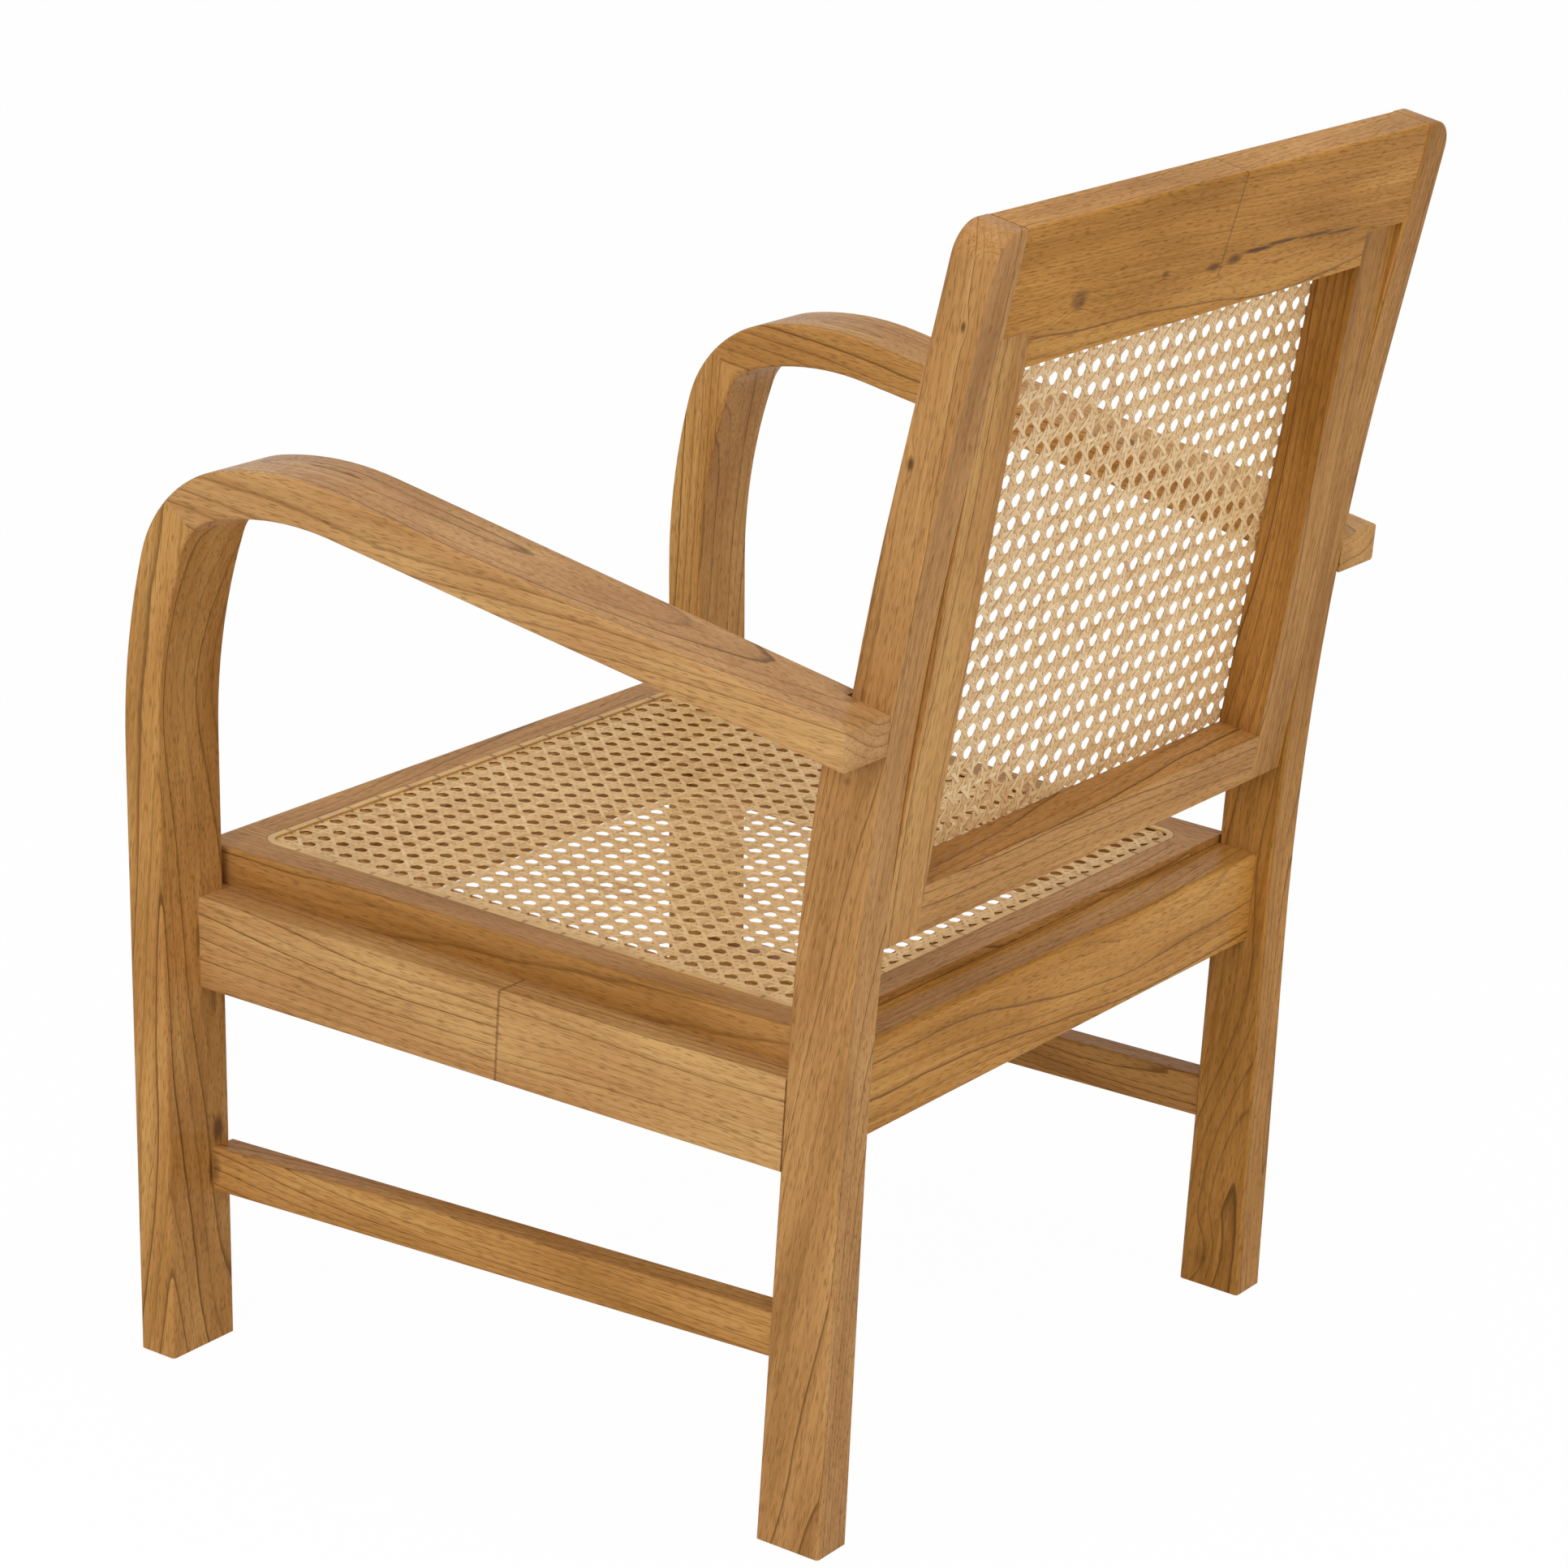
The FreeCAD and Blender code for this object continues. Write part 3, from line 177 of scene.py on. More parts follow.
bpy.ops.object.select_all(action="DESELECT")
bpy.ops.mesh.primitive_plane_add(size=FLOOR_SIDE)
floor = bpy.context.object
floor.name = "studio_floor"
paper, tree = new_finish("matt_white_paper_roll")
share = add(tree, "Math", {0: seen_directly(tree), 1: FLOOR_GLOW}, operation="MULTIPLY")
matt = add(tree, "BsdfDiffuse", {"Color": linear("#F2F2F0")})
glow = add(tree, "Emission", {"Color": linear("#FFFFFF"), "Strength": 1})
paper_mix = add(tree, "MixShader", {0: share, 1: matt, 2: glow})
add(tree, "OutputMaterial", {"Surface": paper_mix})
floor.data.materials.append(paper)
print("floor", tuple(round(v, 2) for v in floor.dimensions))

# %% [markdown]
# ## The lamps
# In the photograph the outer faces and the rear faces of the posts are bright, but the rear faces
# of the front legs lie in shade. So one lamp lights the outer side, and a second stands straight
# behind the chair, where the chair's own back keeps it off the legs. A third hangs overhead for
# the arm tops. Each is a large square, for soft edges.

# %% Lamps
CHAIR_MIDDLE = Vector((0, 0, 0.45))
LAMPS = {
    "side_softbox": ((4.2, 0.6, 2.1), 2.2, 74),
    "rear_softbox": ((-0.1, 4.2, 1.8), 1.8, 44),
    "overhead_softbox": ((0.3, 0.2, 3.6), 2.4, 36),
}
for name, (place, side, watts) in LAMPS.items():
    lamp = bpy.data.objects.new(name, bpy.data.lights.new(name, "AREA"))
    lamp.data.shape = "SQUARE"
    lamp.data.size = side
    lamp.data.energy = watts
    lamp.location = place
    lamp.rotation_euler = (CHAIR_MIDDLE - Vector(place)).to_track_quat("-Z", "Y").to_euler()
    scene.collection.objects.link(lamp)
    print(name, watts, "W")

# %% [markdown]
# ## Teak, and a board in its log
# Teak is a golden brown hardwood with growth rings some millimetres apart, each ending in a thin
# dark line, and with long open pores. It is sanded and oiled to a satin sheen. An image of wood
# would show the same board on every side, so the figure is worked out in space instead, as if
# each piece were still in its log. This first step measures every place in millimetres from the
# heart of the log, with the grain along Z.

# %% Places in the log
MM = 0.001
GRAIN_TURN = {"z": (0, 0, 0), "y": (90, 0, 0), "x": (0, -90, 0)}


def log_places(tree, place, nodes, grain, heart, slope):
    """Give the node that measures places in the log, and the same step as a matrix.

    The grain runs along an axis of the chair, tilted by slope (degrees). The middle of the nodes
    lies at heart (mm) from the heart line.
    """
    boxes = [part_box(node) for node in nodes]
    middle = sum((low + high for low, high in boxes), Vector()) / (2 * len(boxes))
    angles = Euler([math.radians(a + b) for a, b in zip(GRAIN_TURN[grain], (*slope, 0))])
    size = Vector((1, 1, 1)) / MM
    shift = Vector((*heart, 0)) - angles.to_matrix() @ (middle / MM)
    log = add(tree, "Mapping", {"Vector": place, "Location": shift, "Rotation": angles, "Scale": size})
    return log, Matrix.LocRotScale(shift, angles, size)


# %% [markdown]
# ## Growth rings
# The number of a ring is its distance from the heart, divided by the width of a ring. Slow noise
# bends the rings by some centimetres over the length of a board, and a finer one makes them
# waver. A face that cuts the rings along the grain then shows long arches, and an end shows
# arcs. A rate says how often a pattern changes in a millimetre, across and along the grain.

# %% Rings
SWAY, SWAY_RATE = 34, (0.011, 0.0026)
WAVER, WAVER_RATE = 2.4, (0.06, 0.014)
RING_LINE = [(0, 0.3), (0.06, 0.0), (0.55, 0.03), (0.84, 0.22), (0.95, 1.0), (1, 0.75)]
RING_FAINT, RING_STRONG, RING_CONTRAST = 0.14, 0.95, 1.6


def figure(tree, log, rate, detail):
    """Noise in the log that changes at one rate across the grain and at another along it."""
    stretched = add(tree, "Mapping", {"Vector": log, "Scale": (rate[0], rate[0], rate[1])})
    return add(tree, "TexNoise", {"Vector": stretched, "Scale": 1, "Detail": detail})


def ring_number(tree, log, ring, waver):
    """Count the rings, each so many millimetres wide, from the heart outward."""
    sway = figure(tree, log, SWAY_RATE, 1)
    away = add(tree, "VectorMath", {0: log, 1: (1 / ring, 1 / ring, 0)}, operation="MULTIPLY")
    away = add(tree, "VectorMath", {0: away}, operation="LENGTH").outputs["Value"]
    number = add(tree, "Math", {0: sway, 1: SWAY / ring, 2: away}, operation="MULTIPLY_ADD")
    return add(tree, "Math", {0: waver, 1: WAVER / ring, 2: number}, operation="MULTIPLY_ADD")


def ring_lines(tree, number):
    """Draw the dark line that ends each ring, strong on some rings and faint on most."""
    within = add(tree, "Math", {0: number}, operation="FRACT")
    whole = add(tree, "Math", {0: number}, operation="FLOOR")
    strength = add(tree, "TexWhiteNoise", {"W": whole}, noise_dimensions="1D")
    strength = add(tree, "Math", {0: strength, 1: RING_CONTRAST}, operation="POWER")
    strength = add(tree, "MapRange", {"Value": strength, "To Min": RING_FAINT, "To Max": RING_STRONG})
    line = add(tree, "ValToRGB", {"Fac": within}, RING_LINE)
    return add(tree, "Math", {0: line, 1: strength}, operation="MULTIPLY")


# %% [markdown]
# ## Knots, cracks, glue and painted shade at joints
# A knot is where a branch grew, so the rings bend round it and its middle is dark. A crack, a
# trace of glue, a stain and the painted shade where two parts meet are dark too, but leave the
# rings as they are. All are stretched along the grain.
# Each is a soft ball at a place that was read from the photograph, given by its place in metres,
# its radius across and along the grain in millimetres, the number of rings that it pulls, and
# how dark it is.

# %% Spots in the wood
PULL_FAR, PULL_NEAR = 3.6, 0.3
MARK_FAR, MARK_NEAR = 1.5, 0.6
RAGGED = 0.8


def spotted(tree, log, to_log, waver, spots, number):
    """Bend the rings round the spots. Give the new ring number, and how dark the spots are."""
    marks = 0
    for point, across_grain, along_grain, pull, dark in spots:
        stretch = (1 / across_grain, 1 / across_grain, 1 / along_grain)
        away = add(tree, "VectorMath", {0: log, 1: to_log @ Vector(point)}, operation="SUBTRACT")
        away = add(tree, "VectorMath", {0: away, 1: stretch}, operation="MULTIPLY")
        away = add(tree, "VectorMath", {0: away}, operation="LENGTH").outputs["Value"]
        away = add(tree, "Math", {0: waver, 1: RAGGED, 2: away}, operation="MULTIPLY_ADD")
        if pull:
            bulge = add(tree, "MapRange", {"Value": away, "From Min": PULL_FAR, "From Max": PULL_NEAR},
                        interpolation_type="SMOOTHSTEP")
            number = add(tree, "Math", {0: bulge, 1: pull, 2: number}, operation="MULTIPLY_ADD")
        if dark:
            mark = add(tree, "MapRange", {"Value": away, "From Min": MARK_FAR, "From Max": MARK_NEAR,
                                          "To Max": dark}, interpolation_type="SMOOTHSTEP")
            marks = add(tree, "Math", {0: marks, 1: mark}, operation="MAXIMUM")
    return number, marks


# %% [markdown]
# ## Boards glued end to end
# The crest rail and the near side rail are each made of two boards, which shows as a fine dark
# line where the rings jump. A joint is given by the axis along the rail, its place on that axis
# in metres, and how much it leans.

# %% Glue joint
RING_JUMP = 6.4
SEAM_FAR, SEAM_NEAR = 1.6 * MM, 0.2 * MM
SEAM_DARK = 0.5


def jointed(tree, place, joint, number, marks):
    """Part two boards. Give the new ring number, and the dark marks with the seam added."""
    axis, where, lean = joint
    parts = add(tree, "SeparateXYZ", {0: place})
    run = add(tree, "Math", {0: parts.outputs["Z"], 1: lean, 2: parts.outputs[axis]},
              operation="MULTIPLY_ADD")
    far_board = add(tree, "Math", {0: run, 1: where}, operation="GREATER_THAN")
    number = add(tree, "Math", {0: far_board, 1: RING_JUMP, 2: number}, operation="MULTIPLY_ADD")
    seam = add(tree, "Math", {0: run, 1: where}, operation="SUBTRACT")
    seam = add(tree, "Math", {0: seam}, operation="ABSOLUTE")
    seam = add(tree, "MapRange", {"Value": seam, "From Min": SEAM_FAR, "From Max": SEAM_NEAR,
                                  "To Max": SEAM_DARK}, interpolation_type="SMOOTHSTEP")
    return number, add(tree, "Math", {0: marks, 1: seam}, operation="MAXIMUM")


# %% [markdown]
# ## Oiled teak
# The colour goes from light to deep in soft streaks. The ring lines, the pores and the marks are
# laid over it, each in its own brown. Real pores are about 0.3 mm wide, too fine for the
# picture, so they are drawn wider. Pores are duller than the skin of oil and a little sunken,
# and a thin clear coat stands for the oil.

# %% Teak
PORE_WIDTH = 0.7
PORE_LENGTH = 9
STREAK_RATE, SHADING_RATE = (0.32, 0.006), (0.03, 0.006)
TEAK_LIGHT, TEAK_BODY, TEAK_DEEP = "#D0A05E", "#BB874A", "#9C6B31"
# The last colour is for the dark marks: knots, cracks, glue and stains, and painted shade where parts meet.
TEAK_LINE, TEAK_PORE, TEAK_STAIN_AND_SHADE = "#5E3A14", "#6A451C", "#401D06"


def teak_colour(tree, log, shade, rich, line, pore, marks):
    """Mix the colour of a board. Shade goes from light to deep, and rich is its strength of colour."""
    streak = figure(tree, log, STREAK_RATE, 3)
    shading = figure(tree, log, SHADING_RATE, 1)
    tone = add(tree, "Math", {0: streak, 1: 0.75, 2: shading}, operation="MULTIPLY_ADD")
    tone = add(tree, "MapRange", {"Value": tone, "From Min": 0.45, "From Max": 1.3,
                                  "To Min": shade - 0.5, "To Max": shade + 0.5})
    colour = add(tree, "ValToRGB", {"Fac": tone}, [(0, TEAK_LIGHT), (0.5, TEAK_BODY), (1, TEAK_DEEP)])
    colour = add(tree, "HueSaturation", {"Saturation": rich, "Color": colour})
    pores = add(tree, "Math", {0: pore, 1: 0.48}, operation="MULTIPLY")
    # The marks are knots, cracks, glue and stains, and painted shade at joints.
    for share, brown in ((line, TEAK_LINE), (pores, TEAK_PORE), (marks, TEAK_STAIN_AND_SHADE)):
        colour = add(tree, "Mix", {"Factor": share, "A": colour, "B": linear(brown)}, data_type="RGBA")
    return colour


def teak(name, nodes, grain, heart, slope, ring, shade, spots=(), joint=None, rich=1.0):
    """Finish CAD nodes in oiled teak, as one board with its own place in the log."""
    finish, tree = new_finish(name)
    place = add(tree, "TexCoord").outputs["Object"]
    log, to_log = log_places(tree, place, nodes, grain, heart, slope)
    waver = figure(tree, log, WAVER_RATE, 2)
    number = ring_number(tree, log, ring, waver)
    number, marks = spotted(tree, log, to_log, waver, spots, number)
    if joint:
        number, marks = jointed(tree, place, joint, number, marks)
    line = ring_lines(tree, number)
    pore = figure(tree, log, (1 / PORE_WIDTH, 1 / PORE_LENGTH), 0)
    pore = add(tree, "MapRange", {"Value": pore, "From Min": 0.56, "From Max": 0.72})

    colour = teak_colour(tree, log, shade, rich, line, pore, marks)
    sheen = add(tree, "MapRange", {"Value": pore, "To Min": 0.36, "To Max": 0.6})
    height = add(tree, "Math", {0: pore, 1: -0.8, 2: line}, operation="MULTIPLY_ADD")
    bump = add(tree, "Bump", {"Strength": 0.2, "Distance": 0.25 * MM, "Height": height})
    wood = add(tree, "BsdfPrincipled", {
        "Base Color": colour, "Roughness": sheen, "IOR": 1.5, "Normal": bump,
        "Specular IOR Level": 0.04, "Coat Weight": 0.08, "Coat Roughness": 0.12})
    add(tree, "OutputMaterial", {"Surface": wood})
    give(finish, nodes)


# %% [markdown]
# ## Which way the grain runs
# A joiner lays the grain along the length of each piece, so it runs up the posts, legs and
# stiles, fore and aft in the arms, side rails and stretchers, and across in the rails. The legs
# and arms are sawn from wide planks, so the lines run out at the curved edges. The shades, knots,
# glue joints, and the dark spots where parts meet, which are partly stain and partly painted
# shade, follow the photograph. These are the posts and legs, whose numbers are the heart, the
# slope, the width of a ring and the shade.

# %% Posts and legs
teak("oiled_teak_near_post", ["back_post_left"], "z", (48, -60), (5.5, 0.8), 4.5, 0.6,
     [((0.300, 0.2799, 0.8177), 2.2, 5, 0.7, 0.75), ((0.300, 0.2532, 0.7283), 2.8, 6, 1.0, 0.8),
      ((0.301, 0.2304, 0.5223), 3.5, 3.5, 0, 0.35)], rich=0.96)
teak("oiled_teak_far_post", ["back_post_right"], "z", (20, -22), (3.0, 1.6), 6, 0.76,
     [((-0.266, 0.2313, 0.0244), 7, 15, 1.6, 0.3), ((-0.266, 0.2328, 0.2209), 20, 44, 1.8, 0)], rich=1.03)
# The near leg's spots where the stretcher and the side rail meet it are partly stain and partly painted
# shade.
teak("oiled_teak_near_leg", ["front_leg_left"], "z", (48, 56), (1.0, 0.4), 7.5, 0.5,
     [((0.2985, -0.2394, 0.1530), 8, 13, 0, 0.75), ((0.3075, -0.2370, 0.1250), 2.5, 15, 0, 0.6),
      ((0.3145, -0.2530, 0.2900), 2.2, 32, 0, 0.5), ((0.3000, -0.2480, 0.2450), 5, 14, 0, 0.4)])
teak("oiled_teak_far_leg", ["front_leg_right"], "z", (-50, 52), (-1.0, 0.6), 7, 0.3)

# %% [markdown]
# ## Arms, rails and stretchers
# These hold the seat and carry the sitter's weight, and most of them have straight, quiet grain.
# The crest rail has fine grain, two knots and a long crack.

# %% Arms, rails and stretchers
teak("oiled_teak_near_arm", ["arm_left"], "y", (10, 40), (2.4, 1.0), 8, 0.45, rich=0.94)
teak("oiled_teak_far_arm", ["arm_right"], "y", (-14, 44), (2.0, -1.2), 7, 0.36)
teak("oiled_teak_near_side_rail", ["side_rail_left"], "y", (26, 52), (1.5, 1.0), 5, 0.37,
     [((0.313, -0.002, 0.262), 5, 5, 0, 0.25)], ("Y", -0.002, 0.03), rich=0.95)
teak("oiled_teak_far_side_rail", ["side_rail_right"], "y", (-30, 45), (1.2, -1.0), 5, 0.5)
# The near stretcher's spot where it meets the leg is partly stain and partly painted shade.
teak("oiled_teak_near_stretcher", ["side_stretcher_left"], "y", (-20, 42), (1.0, 1.4), 4, 0.52,
     [((0.3045, -0.2370, 0.1250), 16, 7, 0, 0.5)])
teak("oiled_teak_far_stretcher", ["side_stretcher_right"], "y", (24, 34), (1.4, -0.8), 4, 0.55)
teak("oiled_teak_back_rail", ["back_rail"], "x", (34, 40), (0.8, 1.8), 6, 0.56, rich=1.05)
teak("oiled_teak_front_rail", ["front_rail"], "x", (-40, 36), (1.0, -1.5), 6, 0.5)
teak("oiled_teak_crest", ["crest_rail"], "x", (70, -46), (1.0, 1.6), 2.7, 0.64,
     [((0.1803, 0.2898, 0.8183), 8, 13, 3.5, 0.55), ((0.0732, 0.2900, 0.8191), 3.4, 6, 1.0, 0.6),
      ((0.008, 0.2894, 0.8145), 4.2, 14, 1.2, 0.75), ((-0.018, 0.2895, 0.8160), 4.6, 13, 1.0, 0.75),
      ((-0.050, 0.2898, 0.8180), 2.0, 27, 0, 0.85), ((-0.085, 0.2899, 0.8188), 1.8, 33, 0, 0.8),
      ((-0.128, 0.2896, 0.8168), 1.7, 37, 0, 0.75), ((-0.172, 0.2891, 0.8138), 1.7, 36, 0, 0.7)],
     ("X", 0.0794, 0.1), rich=1.07)

# %% [markdown]
# ## Frames of the back and the seat
# The cane is held by two light frames of their own, one between the posts and one on the rails.
# The corner blocks and the loose tenons are hidden, and keep their sawn face.

# %% Cane frames and hidden wood
BACK_LEAN = 5.4
teak("oiled_teak_panel_top", ["back_panel_top_member"], "x", (42, 30), (0.8, 1.0), 6, 0.55, rich=1.06)
teak("oiled_teak_panel_bottom", ["back_panel_bottom_rail"], "x", (-38, 40), (0.6, 1.2), 6, 0.55)
teak("oiled_teak_near_stile", ["back_stile_left"], "z", (36, 30), (BACK_LEAN, 0.4), 6, 0.45)
teak("oiled_teak_far_stile", ["back_stile_right"], "z", (-32, 34), (BACK_LEAN, -0.4), 6, 0.76, rich=1.02)
teak("oiled_teak_seat_sides", ["seat_frame_left", "seat_frame_right"], "y", (24, 46), (0.5, 1.0), 4.5, 0.66)
teak("oiled_teak_seat_back", ["seat_frame_back"], "x", (30, 44), (0.5, 1.5), 4.5, 0.7)
teak("oiled_teak_seat_front", ["seat_frame_front"], "x", (-30, 40), (0.5, 1.0), 4.5, 0.62)
teak("sawn_teak_blocks", ["corner_block_front_left", "corner_block_front_right", "corner_block_rear_left",
                          "corner_block_rear_right"], "z", (30, 30), (1, 1), 6, 0.6)
teak("sawn_teak_tenons", ["arm_mitre_tenon_left", "arm_mitre_tenon_right"], "z", (24, 30), (1, 1), 6, 0.5)

# %% [markdown]
# ## The cane sheets
# The back and the seat are filled with split cane in the six-way pattern: pairs of strands run
# up and across, and single strands cross them on both diagonals, which leaves eight-sided holes.
# A flat picture with holes would look dead from the side, so each strand is a real ribbon that
# passes over and under. Weaving a whole sheet by hand would take thousands of ribbons, but the
# pattern repeats at every hole, so only the ribbons of one hole are made and set in rows. A
# gentle shift then takes away the machine-made look. Each sheet is woven flat, and is then leaned
# and moved to its place. Its pitch from hole to hole and the middle of one hole are measured on
# the flat sheet, and follow the photograph. Its edges and its height come from the plain sheet of
# the CAD model, laid flat in the same way. The spare length of the seat's strands closes the
# narrow gap between that sheet and the seat frame.

# %% Sizes of the weave
STRAND_WIDTH = {"uprights": 3.5 * MM, "crossers": 3.2 * MM, "falling_diagonals": 3.1 * MM,
                "rising_diagonals": 3.1 * MM}
PAIR_OFFSET = {"uprights": 2.2 * MM, "crossers": 1.75 * MM}
STRAND_THICKNESS = 0.5 * MM
CROWN_SHARE = 0.7
PAIR_LIFT = 0.2 * MM
DIAGONAL_LIFT = 0.36 * MM
ABOVE_UNDERSIDE = 1.0 * MM

SHEETS = {
    "back": {"node": "back_cane_panel", "pitch": (18.1 * MM, 15.6 * MM), "hole": (12.0 * MM, 31.2 * MM),
             "place": (0, 244.9 * MM, 406 * MM), "lean": math.radians(90 - BACK_LEAN), "spare": 0.0},
    "seat": {"node": "seat_cane_panel", "pitch": (16.8 * MM, 15.7 * MM), "hole": (8.1 * MM, -153.1 * MM),
             "place": (0, 0, 0), "lean": 0.0, "spare": 0.4 * MM},
}
for part, sheet in SHEETS.items():
    lay_flat = (Matrix.Translation(sheet["place"]) @ Matrix.Rotation(sheet["lean"], 4, "X")).inverted()
    flat = [lay_flat @ vert.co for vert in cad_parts[sheet["node"]].data.vertices]
    sheet["low"] = [min(point[axis] for point in flat) - sheet["spare"] for axis in (0, 1)]
    sheet["high"] = [max(point[axis] for point in flat) + sheet["spare"] for axis in (0, 1)]
    sheet["height"] = min(point.z for point in flat) + ABOVE_UNDERSIDE
    print(part, "cane, flat:", *(round(v / MM, 1) for v in (*sheet["low"], *sheet["high"])), "mm")


# %% [markdown]
# ## One ribbon
# A ribbon starts as a box without its ends, is divided along its length, and its top is made
# narrower, because the shiny outer skin of cane is crowned. Its cross lines are then lifted or
# lowered one by one, so it passes over and under its neighbours.

# %% Ribbon
def select(shape, kind, wanted):
    """In edit mode, select only the vertices, edges or faces that pass the test."""
    bpy.context.tool_settings.mesh_select_mode = (kind == "verts", kind == "edges", kind == "faces")
    bpy.ops.mesh.select_all(action="DESELECT")
    mesh = bmesh.from_edit_mesh(shape.data)
    for item in getattr(mesh, kind):
        if wanted(item):
            item.select_set(True)
    mesh.select_flush_mode()
    bmesh.update_edit_mesh(shape.data)


def ribbon(width, length, lines):
    """Make a ribbon along Y. Its cross lines, each a share of the length and a lift, weave up and down."""
    bpy.ops.object.select_all(action="DESELECT")
    bpy.ops.mesh.primitive_cube_add(size=1)
    shape = bpy.context.object
    shape.scale = (width, length, STRAND_THICKNESS)
    bpy.ops.object.transform_apply(location=False, rotation=False, scale=True)
    bpy.ops.object.mode_set(mode="EDIT")
    select(shape, "faces", lambda face: abs(face.normal.y) > 0.9)
    bpy.ops.mesh.delete(type="ONLY_FACE")
    select(shape, "verts", lambda vert: vert.co.z > 0)
    bpy.ops.transform.resize(value=(CROWN_SHARE, 1, 1))
    select(shape, "edges", lambda edge: abs(edge.verts[0].co.y - edge.verts[1].co.y) > length / 2)
    bpy.ops.mesh.subdivide(number_cuts=len(lines) - 2)
    spacing = length / (len(lines) - 1)
    for i in reversed(range(len(lines))):
        share, lift = lines[i]
        now = i * spacing - length / 2
        select(shape, "verts", lambda vert: abs(vert.co.y - now) < spacing * 0.01)
        bpy.ops.transform.translate(value=(0, (share - 0.5) * length - now, lift))
    bpy.ops.object.mode_set(mode="OBJECT")
    return shape


def put(shape, place, turn=(0, 0, 0)):
    """Turn and move the selected shape, and keep that in its mesh."""
    shape.rotation_euler = turn
    shape.location = place
    bpy.ops.object.transform_apply(location=True, rotation=True, scale=False)
    return shape


# %% [markdown]
# ## The ribbons round one hole
# Seen from above, the upright ribbon on the left of a hole goes over the upper crossing one and
# under the lower, and its partner on the right does the opposite, as in plain weaving. One
# diagonal lies over the uprights and under the crossing pair, and the other the other way round.

# %% Ribbons of one hole
def pair_lines(pitch, offset, sign):
    """Cross lines of a ribbon that goes over one crossing ribbon and under the next."""
    crossing = 0.5 - offset / pitch
    return [(0, 0), (0.5 - crossing, -sign * PAIR_LIFT), (0.36, -sign * PAIR_LIFT * 0.3), (0.5, 0),
            (0.64, sign * PAIR_LIFT * 0.3), (0.5 + crossing, sign * PAIR_LIFT), (1, 0)]


def diagonal_lines(sign):
    """Cross lines of a diagonal from the crossing pair, where it is low, to the upright pair."""
    return [(0, -sign * DIAGONAL_LIFT * 0.75), (0.27, -sign * DIAGONAL_LIFT), (0.5, 0),
            (0.73, sign * DIAGONAL_LIFT), (1, sign * DIAGONAL_LIFT * 0.75)]


def hole_ribbons(family, pitch):
    """Make the two ribbons of one family round a hole at the origin."""
    wide, tall = pitch
    width = STRAND_WIDTH[family]
    made = []
    for side in (-1, 1):
        if family == "uprights":
            shape = ribbon(width, tall, pair_lines(tall, PAIR_OFFSET["crossers"], -side))
            place, angle = (side * (wide / 2 - PAIR_OFFSET["uprights"]), 0, 0), 0
        elif family == "crossers":
            shape = ribbon(width, wide, pair_lines(wide, PAIR_OFFSET["uprights"], side))
            place, angle = (0, side * (tall / 2 - PAIR_OFFSET["crossers"]), 0), -math.pi / 2
        else:
            sign = 1 if family == "falling_diagonals" else -1
            shape = ribbon(width, math.hypot(wide, tall) / 2, diagonal_lines(sign))
            place = (-side * sign * wide / 4, -side * tall / 4, 0)
            angle = math.atan2(side * sign * wide, side * tall)
        made.append(put(shape, place, (0, 0, angle)))
    return made


# %% [markdown]
# ## Rows, joins and closed ends
# The Array modifier copies a hole's ribbons along a row, and then the row up the sheet, and joins
# the ends that meet. The weave and the small loops on the seat's edge are both made this way.

# %% Helpers for rows
JOIN_DISTANCE = 0.04 * MM
SMOOTH_ANGLE = math.radians(75)


def joined(shapes, name):
    """Join shapes to one piece."""
    bpy.ops.object.select_all(action="DESELECT")
    for shape in shapes:
        shape.select_set(True)
    bpy.context.view_layer.objects.active = shapes[0]
    bpy.ops.object.join()
    piece = bpy.context.object
    piece.name = piece.data.name = name
    return piece


def repeat(piece, axis, step, count, merge):
    """Copy the active piece in a row along X (0) or Y (1)."""
    row = piece.modifiers.new("row", "ARRAY")
    row.use_relative_offset = False
    row.use_constant_offset = True
    row.constant_offset_displace = (step, 0, 0) if axis == 0 else (0, step, 0)
    row.count = count
    row.use_merge_vertices = merge
    row.merge_threshold = JOIN_DISTANCE
    bpy.ops.object.modifier_apply(modifier=row.name)


def close_ends():
    """Close the open ends of the active piece, turn its faces outward and smooth it."""
    bpy.ops.object.mode_set(mode="EDIT")
    bpy.ops.mesh.select_all(action="SELECT")
    bpy.ops.mesh.fill_holes(sides=8)
    bpy.ops.mesh.select_all(action="SELECT")
    bpy.ops.mesh.normals_make_consistent(inside=False)
    bpy.ops.object.mode_set(mode="OBJECT")
    bpy.ops.object.shade_smooth_by_angle(angle=SMOOTH_ANGLE)


# %% [markdown]
# ## Weaving a sheet
# The rows are set from the hole that the photograph shows, so that the holes lie where they are on
# the real chair. Two Displace modifiers on soft clouds move strands sideways by up to half a
# millimetre, and all four families alike, so that they stay woven together. The sheet is then cut
# to the size that the frame holds, and its cut ends closed.

# %% Weave a sheet
DRIFT = 1.1 * MM
CLOUD_SIZES = (22 * MM, 29 * MM)
drift_clouds = []
for number, size in enumerate(CLOUD_SIZES):
    clouds = bpy.data.textures.new(f"strand_drift_{number}", "CLOUDS")
    clouds.noise_scale = size
    clouds.noise_depth = 1
    drift_clouds.append(clouds)


def cut_to_size(sheet):
    """Cut the active piece to the edges of its sheet."""
    bpy.ops.object.mode_set(mode="EDIT")
    for axis in (0, 1):
        for side, outward in (("low", -1), ("high", 1)):
            cut_at = Vector((0, 0, 0))
            cut_at[axis] = sheet[side][axis]
            facing = Vector((0, 0, 0))
            facing[axis] = outward
            bpy.ops.mesh.select_all(action="SELECT")
            bpy.ops.mesh.bisect(plane_co=cut_at, plane_no=facing, clear_outer=True)
    bpy.ops.object.mode_set(mode="OBJECT")


